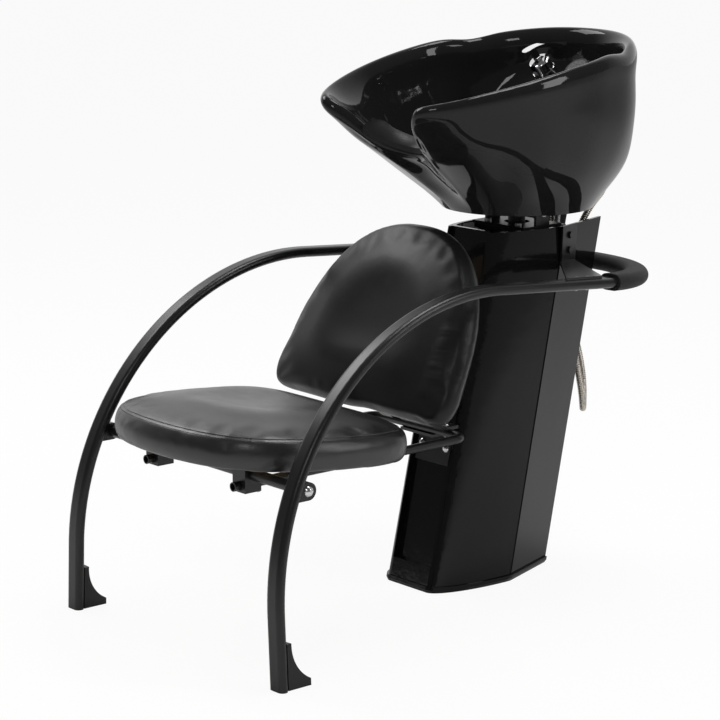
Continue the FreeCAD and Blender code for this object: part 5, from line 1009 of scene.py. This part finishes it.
@dataclass
class Pad:
    """A padded piece that stands for a plain cushion solid."""

    node: str
    piece: str
    foot: Point
    up: Point
    pin_height: float
    look: Look
    voxel: float = 0.006
    shrink: float = 0.001
    cap: float = 0.003
    pressure: float = 4.0
    taut_passes: int = 6
    frames: int = 20
    fill: float = 0.8
    welts: tuple[tuple[float, float, float], ...] = ()
    crown: float = 0.007
    crown_passes: int = 260
    groove: float = 0.0016
    groove_half: float = 0.005
    stitch_rows: tuple[float, ...] = ()

    FACE_LEVEL = 0.80
    FACE_BLEND = 0.15
    FACE_SHARE = 0.6
    DOME_POWER = 3
    WALL_LEAN = 0.35
    CLOTH = {
        "quality": 5, "mass": 0.35, "tension_stiffness": 40.0, "compression_stiffness": 40.0,
        "shear_stiffness": 40.0, "bending_stiffness": 12.0, "use_pressure": True,
    }
    SEAM_MERGE = 0.0015
    STITCH_RADIUS = 0.00055
    STITCH_LENGTH = 0.0036
    STITCH_ROUND = 0.0004
    STITCH_SPACING = 0.0056
    STITCH_LIFT = 0.0001
    MILLIMETRES = 1000
    PAD_DEGREES, WELT_DEGREES, STITCH_DEGREES = 80.0, 60.0, 40.0

    def height(self, place: Vector) -> float:
        """Distance of a point above the pad's base plane.

        Args:
            place: A point in the frame.

        Returns:
            The height in metres.
        """
        return (place - Vector(self.foot)).dot(Vector(self.up))

    def even_crown(self, piece: bpy.types.Object) -> None:
        """Smooth the pad's face well inside its edge, and leave the edge as it is.

        Args:
            piece: The remeshed pad.
        """
        up = Vector(self.up)
        heights = [self.height(v.co) for v in piece.data.vertices]
        top = max(heights)
        group = piece.vertex_groups.new(name="crown")
        for vertex, high in zip(piece.data.vertices, heights):
            level = (vertex.normal.dot(up) - self.FACE_LEVEL) / self.FACE_BLEND
            weight = max(0.0, min(1.0, level)) if high > self.FACE_SHARE * top else 0.0
            if weight > 0.0:
                group.add([vertex.index], weight, "REPLACE")
        Shop.apply(piece, "SMOOTH", factor=0.5, iterations=self.crown_passes, vertex_group=group.name)
        self.dome(piece)

    def dome(self, piece: bpy.types.Object) -> None:
        """Raise the middle of the pad's face in one even dome.

        Args:
            piece: The pad with its face smoothed.
        """
        up = Vector(self.up)
        along = Vector((1.0, 0.0, 0.0)).cross(up)
        runs = [v.co.dot(along) for v in piece.data.vertices]
        middle, half = (max(runs) + min(runs)) / 2, (max(runs) - min(runs)) / 2
        wide = max(abs(v.co.x) for v in piece.data.vertices)
        top = max(self.height(v.co) for v in piece.data.vertices)
        for vertex, run in zip(piece.data.vertices, runs):
            if self.height(vertex.co) > self.FACE_SHARE * top:
                across = 1 - abs(vertex.co.x / wide) ** self.DOME_POWER
                vertex.co += up * self.crown * across * (1 - abs((run - middle) / half) ** self.DOME_POWER)

    def swell(self, piece: bpy.types.Object) -> None:
        """Blow the pad up a little as cloth over foam.

        Args:
            piece: The remeshed pad.
        """
        mesh = piece.data
        group = piece.vertex_groups.new(name="held")
        held = [v.index for v in mesh.vertices if self.height(v.co) < self.pin_height]
        group.add(held, 1.0, "REPLACE")
        held_set = set(held)
        normals = [v.normal.copy() for v in mesh.vertices]
        for vertex in mesh.vertices:
            if vertex.index not in held_set:
                vertex.co -= normals[vertex.index] * self.shrink
        before = [v.co.copy() for v in mesh.vertices]
        modifier = piece.modifiers.new("cloth", "CLOTH")
        settings = modifier.settings
        for name, value in self.CLOTH.items():
            setattr(settings, name, value)
        settings.uniform_pressure_force = self.pressure
        settings.vertex_group_mass = group.name
        settings.effector_weights.gravity = 0.0
        modifier.collision_settings.use_collision = False
        modifier.point_cache.frame_start, modifier.point_cache.frame_end = 1, self.frames
        scene = bpy.context.scene
        for frame in range(1, self.frames + 1):
            scene.frame_set(frame)
        shaped = piece.evaluated_get(bpy.context.evaluated_depsgraph_get())
        after = [v.co.copy() for v in shaped.data.vertices]
        piece.modifiers.remove(modifier)
        for vertex, start, end in zip(mesh.vertices, before, after):
            move = end - start
            if move.length > self.cap:
                move *= self.cap / move.length
            vertex.co = start + move
        scene.frame_set(1)
        Shop.apply(piece, "SMOOTH", factor=0.5, iterations=self.taut_passes)

    def draw_in(self, piece: bpy.types.Object) -> None:
        """Pull the cloth in along each welt.

        Args:
            piece: The pad.
        """
        mesh = piece.data
        up = Vector(self.up)
        normals = [v.normal.copy() for v in mesh.vertices]
        for vertex in mesh.vertices:
            flat = normals[vertex.index] - up * normals[vertex.index].dot(up)
            if flat.length < self.WALL_LEAN:
                continue
            high = self.height(vertex.co)
            for level, _, _ in self.welts:
                near = max(0.0, 1.0 - abs(high - level) / self.groove_half)
                vertex.co -= normals[vertex.index] * self.groove * near * near

    def ring_at(self, piece: bpy.types.Object, level: float) -> bpy.types.Object:
        """Edge loop of the pad at a height above its base.

        Args:
            piece: The pad.
            level: Height of the loop.

        Returns:
            A mesh of edges alone.
        """
        Shop.pick(piece)
        bpy.ops.object.duplicate(linked=False)
        ring = bpy.context.object
        ring.name = self.piece + "_ring"
        for key in list(ring.keys()):
            del ring[key]
        centre = Vector(self.foot) + Vector(self.up) * level
        bpy.ops.object.mode_set(mode="EDIT")
        bpy.ops.mesh.select_all(action="SELECT")
        bpy.ops.mesh.bisect(plane_co=centre, plane_no=self.up, clear_inner=True, clear_outer=True)
        bpy.ops.mesh.select_all(action="SELECT")
        bpy.ops.mesh.remove_doubles(threshold=self.SEAM_MERGE)
        bpy.ops.mesh.vertices_smooth(factor=0.5, repeat=6)
        bpy.ops.object.mode_set(mode="OBJECT")
        return ring

    def seam_points(self, piece: bpy.types.Object, level: float) -> list[Vector]:
        """Points of the pad's outline at a height above its base, in order.

        Args:
            piece: The pad.
            level: Height of the outline.

        Returns:
            The points of its longest closed loop.
        """
        ring = self.ring_at(piece, level)
        mesh = ring.data
        near: dict[int, list[int]] = {v.index: [] for v in mesh.vertices}
        for edge in mesh.edges:
            a, b = edge.vertices
            near[a].append(b)
            near[b].append(a)
        left, best = set(near), []
        while left:
            start = left.pop()
            chain, last, here = [start], None, start
            while True:
                after = [n for n in near[here] if n != last and n in left]
                if not after:
                    break
                last, here = here, after[0]
                left.discard(here)
                chain.append(here)
            if len(chain) > len(best):
                best = chain
        points = [mesh.vertices[index].co.copy() for index in best]
        bpy.data.objects.remove(ring)
        return points

    def welt(self, piece: bpy.types.Object, level: float, radius: float, inset: float) -> bpy.types.Object:
        """Thin rolled welt round the pad.

        Args:
            piece: The pad.
            level: Height above the base plane.
            radius: Radius of the roll.
            inset: How far its centre lies inside the cloth.

        Returns:
            The welt.
        """
        name = f"{self.piece}_welt_{round(level * self.MILLIMETRES)}"
        points = self.seam_points(piece, level)
        middle = sum(points, Vector()) / len(points)
        data = bpy.data.curves.new(name, "CURVE")
        data.dimensions = "3D"
        data.bevel_depth = radius
        data.bevel_resolution = 3
        data.resolution_u = 2
        spline = data.splines.new("NURBS")
        spline.points.add(len(points) - 1)
        for point, place in zip(spline.points, points):
            inward = (middle - place).normalized()
            point.co = (*(place + inward * inset), 1.0)
        spline.order_u = 4
        spline.use_cyclic_u = True
        roll = bpy.data.objects.new(name, data)
        bpy.context.scene.collection.objects.link(roll)
        Shop.pick(roll)
        bpy.ops.object.convert(target="MESH")
        return bpy.context.object

    def stitches(self, piece: bpy.types.Object, level: float) -> bpy.types.Object:
        """Row of stitches round the pad.

        Args:
            piece: The pad.
            level: Height above the base plane.

        Returns:
            The stitches as one object.
        """
        points = self.seam_points(piece, level)
        points.append(points[0])
        middle = sum(points, Vector()) / len(points)
        Shop.pick()
        bpy.ops.mesh.primitive_cylinder_add(vertices=8, radius=self.STITCH_RADIUS, depth=self.STITCH_LENGTH)
        pattern = bpy.context.object
        bpy.ops.object.mode_set(mode="EDIT")
        bpy.ops.mesh.select_all(action="SELECT")
        bpy.ops.mesh.bevel(offset=self.STITCH_ROUND, segments=2, affect="EDGES", clamp_overlap=True)
        bpy.ops.object.mode_set(mode="OBJECT")
        copies: list[bpy.types.Object] = []
        due, run = 0.0, 0.0
        for a, b in zip(points, points[1:]):
            span = (b - a).length
            while span > 1e-6 and due <= run + span:
                place = a.lerp(b, (due - run) / span)
                turn = (b - a).to_track_quat("Z", "Y").to_matrix().to_4x4()
                outward = (place - middle).normalized()
                copy = bpy.data.objects.new("stitch", pattern.data.copy())
                copy.matrix_world = Matrix.Translation(place + outward * self.STITCH_LIFT) @ turn
                bpy.context.scene.collection.objects.link(copy)
                copies.append(copy)
                due += self.STITCH_SPACING
            run += span
        bpy.data.objects.remove(pattern)
        return Shop.join(copies, f"{self.piece}_stitches_{round(level * self.MILLIMETRES)}")

    def build(self, frame: Mapping[str, Any], palette: Palette) -> list[bpy.types.Object]:
        """Args:
            frame: The loaded frame.
            palette: The unit's finishes.

        Returns:
            The pad first, then its seams.
        """
        node = frame["nodes"][self.node]
        piece = Shop.copy_of(node, self.piece)
        piece.data.remesh_voxel_size = self.voxel
        bpy.ops.object.voxel_remesh()
        Shop.apply(piece, "SHRINKWRAP", target=node, wrap_method="NEAREST_SURFACEPOINT")
        Shop.apply(piece, "SMOOTH", factor=0.5, iterations=4)
        self.even_crown(piece)
        self.swell(piece)
        self.draw_in(piece)
        Shop.apply(piece, "SUBSURF", levels=1, render_levels=1)
        Shop.smooth(piece, self.PAD_DEGREES)
        palette.dress(piece, self.look)
        made = [piece]
        for level, radius, inset in self.welts:
            roll = self.welt(piece, level, radius, inset)
            palette.dress(roll, self.look)
            Shop.smooth(roll, self.WELT_DEGREES)
            made.append(roll)
        for level in self.stitch_rows:
            row = self.stitches(piece, level)
            palette.dress(row, Look.SEAM_THREAD)
            Shop.smooth(row, self.STITCH_DEGREES)
            made.append(row)
        for each in made:
            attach(each, Body.STAND.value)
        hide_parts(self.node)
        return made


class Upholstery:
    """Seat and backrest pads."""

    SEAT_SLOPE = math.radians(5.0)
    SEAT_FOOT = (0.0, -0.646, 0.3352)
    BACK_LEAN = math.radians(28.0)
    BACK_EDGE = (-0.322, 0.370)
    BACK_DEPTH = 0.044

    def pads(self) -> tuple[Pad, Pad]:
        """Seat and backrest with their planes.

        Returns:
            The two pads.
        """
        seat_up = (0.0, math.sin(self.SEAT_SLOPE), math.cos(self.SEAT_SLOPE))
        back_up = (0.0, -math.cos(self.BACK_LEAN), math.sin(self.BACK_LEAN))
        back_foot = (
            0.0,
            self.BACK_EDGE[0] + self.BACK_DEPTH * math.cos(self.BACK_LEAN),
            self.BACK_EDGE[1] - self.BACK_DEPTH * math.sin(self.BACK_LEAN),
        )
        seat = Pad(
            "seat_cushion", "seat_pad", self.SEAT_FOOT, seat_up, 0.014, Look.SEAT_VINYL,
            welts=((0.0545, 0.0016, 0.0010),), stitch_rows=(0.0510,), fill=0.85,
        )
        back = Pad(
            "backrest_cushion", "backrest_pad", back_foot, back_up, 0.006, Look.BACK_VINYL,
            welts=((0.0060, 0.0018, 0.0010),), fill=0.8,
        )
        return seat, back

    def build(self, frame: Mapping[str, Any], palette: Palette) -> list[bpy.types.Object]:
        """Make both pads.

        Args:
            frame: The loaded frame.
            palette: The unit's finishes.

        Returns:
            All upholstery pieces.
        """
        return [piece for pad in self.pads() for piece in pad.build(frame, palette)]


@dataclass
class EasedCopy:
    """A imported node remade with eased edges, as a moulding or a pressing has."""

    node: str
    piece: str
    look: Look
    slot: str
    ease: float
    body: Body = Body.STAND
    segments: int = 3
    flat_degrees: float = 0.4
    corner_degrees: float = 32.0
    smooth_degrees: float = 34.0

    def build(self, frame: Mapping[str, Any], palette: Palette) -> bpy.types.Object:
        """Copy the node, merge its flat faces and round its corners.

        Args:
            frame: The loaded frame.
            palette: The unit's finishes.

        Returns:
            The eased piece.
        """
        piece = Shop.copy_of(frame["nodes"][self.node], self.piece)
        bpy.ops.object.mode_set(mode="EDIT")
        bpy.ops.mesh.select_all(action="SELECT")
        bpy.ops.mesh.dissolve_limited(angle_limit=math.radians(self.flat_degrees))
        bpy.ops.object.mode_set(mode="OBJECT")
        Shop.apply(
            piece, "BEVEL", width=self.ease, segments=self.segments, limit_method="ANGLE",
            angle_limit=math.radians(self.corner_degrees), use_clamp_overlap=True, harden_normals=False,
        )
        Shop.smooth(piece, self.smooth_degrees)
        Shop.apply(piece, "WEIGHTED_NORMAL", mode="FACE_AREA", weight=80, keep_sharp=True)
        palette.dress(piece, self.look)
        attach(piece, self.body.value)
        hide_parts(self.node)
        return piece


class Mouldings:
    """Pieces whose edges are plainly rounded in the picture."""

    COPIES: tuple[EasedCopy, ...] = (
        EasedCopy("pedestal_shell", "pedestal_moulding", Look.GLOSS_SHELL, "gloss_black_shell", 0.0025),
    )

    def build(self, frame: Mapping[str, Any], palette: Palette) -> list[bpy.types.Object]:
        """Make every eased piece.

        Args:
            frame: The loaded frame.
            palette: The unit's finishes.

        Returns:
            The pieces.
        """
        return [copy.build(frame, palette) for copy in self.COPIES]


@dataclass
class SteelAndBasin:
    """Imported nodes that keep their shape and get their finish."""

    looks: Mapping[Look, tuple[str, ...]] = field(default_factory=lambda: {
        Look.BLACK_GLAZE: ("basin",),
        Look.SATIN_PAINT: (
            "arm_tube_left", "arm_tube_right", "rear_loop_tube", "front_crossbar", "crossbar_lugs",
            "crossbar_clamps", "seat_frame", "seat_stay", "backrest_brackets", "arm_bracket_left",
            "arm_bracket_right", "tilt_base_bracket", "tilt_cradle",
        ),
        Look.GRIP_FOAM: ("rear_grip_sleeve",),
        Look.CHROME: (
            "tap_body", "tap_cap", "tap_lever", "drain_flange", "drain_strainer", "shower_ferrule",
        ),
        Look.SHOWER_PLASTIC: ("hand_shower", "hose_guide"),
        Look.SPRAY_PLASTIC: ("spray_face",),
        Look.NECK_RUBBER: ("neck_rest",),
        Look.TOE_PLASTIC: ("foot_left", "foot_right", "tube_end_caps"),
        Look.WASTE_PLASTIC: ("waste_outlet", "drain_body", "drain_nut", "hose_guide_nut"),
        Look.BRASS: ("supply_inlets", "tap_nut"),
        Look.BRIGHT_STEEL: ("crossbar_bolts", "seat_stay_bolts", "bracket_foot_bolts", "foot_screws"),
        Look.ZINC_STEEL: (
            "seat_screws", "backrest_screws", "arm_bracket_screws", "cradle_bolts", "tilt_base_bolts",
            "tilt_hinge_pins", "loop_joint_plugs", "service_bracket",
        ),
        Look.BLACK_STEEL: (
            "pedestal_base_plate", "pedestal_posts", "pedestal_top_plate", "post_cross_plate",
            "arm_bracket_bolts",
        ),
        Look.PLYWOOD: ("seat_board", "backrest_board"),
    })

    def build(self, frame: Mapping[str, Any], palette: Palette) -> list[bpy.types.Object]:
        """Dress the nodes.

        Args:
            frame: The loaded frame.
            palette: The unit's finishes.

        Returns:
            The dressed nodes.
        """
        dressed = []
        for look, names in self.looks.items():
            for name in names:
                palette.dress(frame["nodes"][name], look)
                dressed.append(frame["nodes"][name])
        return dressed


def main() -> None:
    """Build the unit's looks in order."""
    logging.basicConfig(level=logging.INFO)
    bpy.ops.object.select_all(action="SELECT")
    bpy.ops.object.delete()
    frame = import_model()
    Studio().build()
    palette = Palette()
    for builder in (
        lambda: SteelAndBasin().build(frame, palette),
        lambda: Mouldings().build(frame, palette),
        lambda: Hoses().build(palette),
        lambda: Upholstery().build(frame, palette),
    ):
        for piece in builder():
            LOG.info("dressed %s", piece.name)


if __name__ == "__main__":
    main()
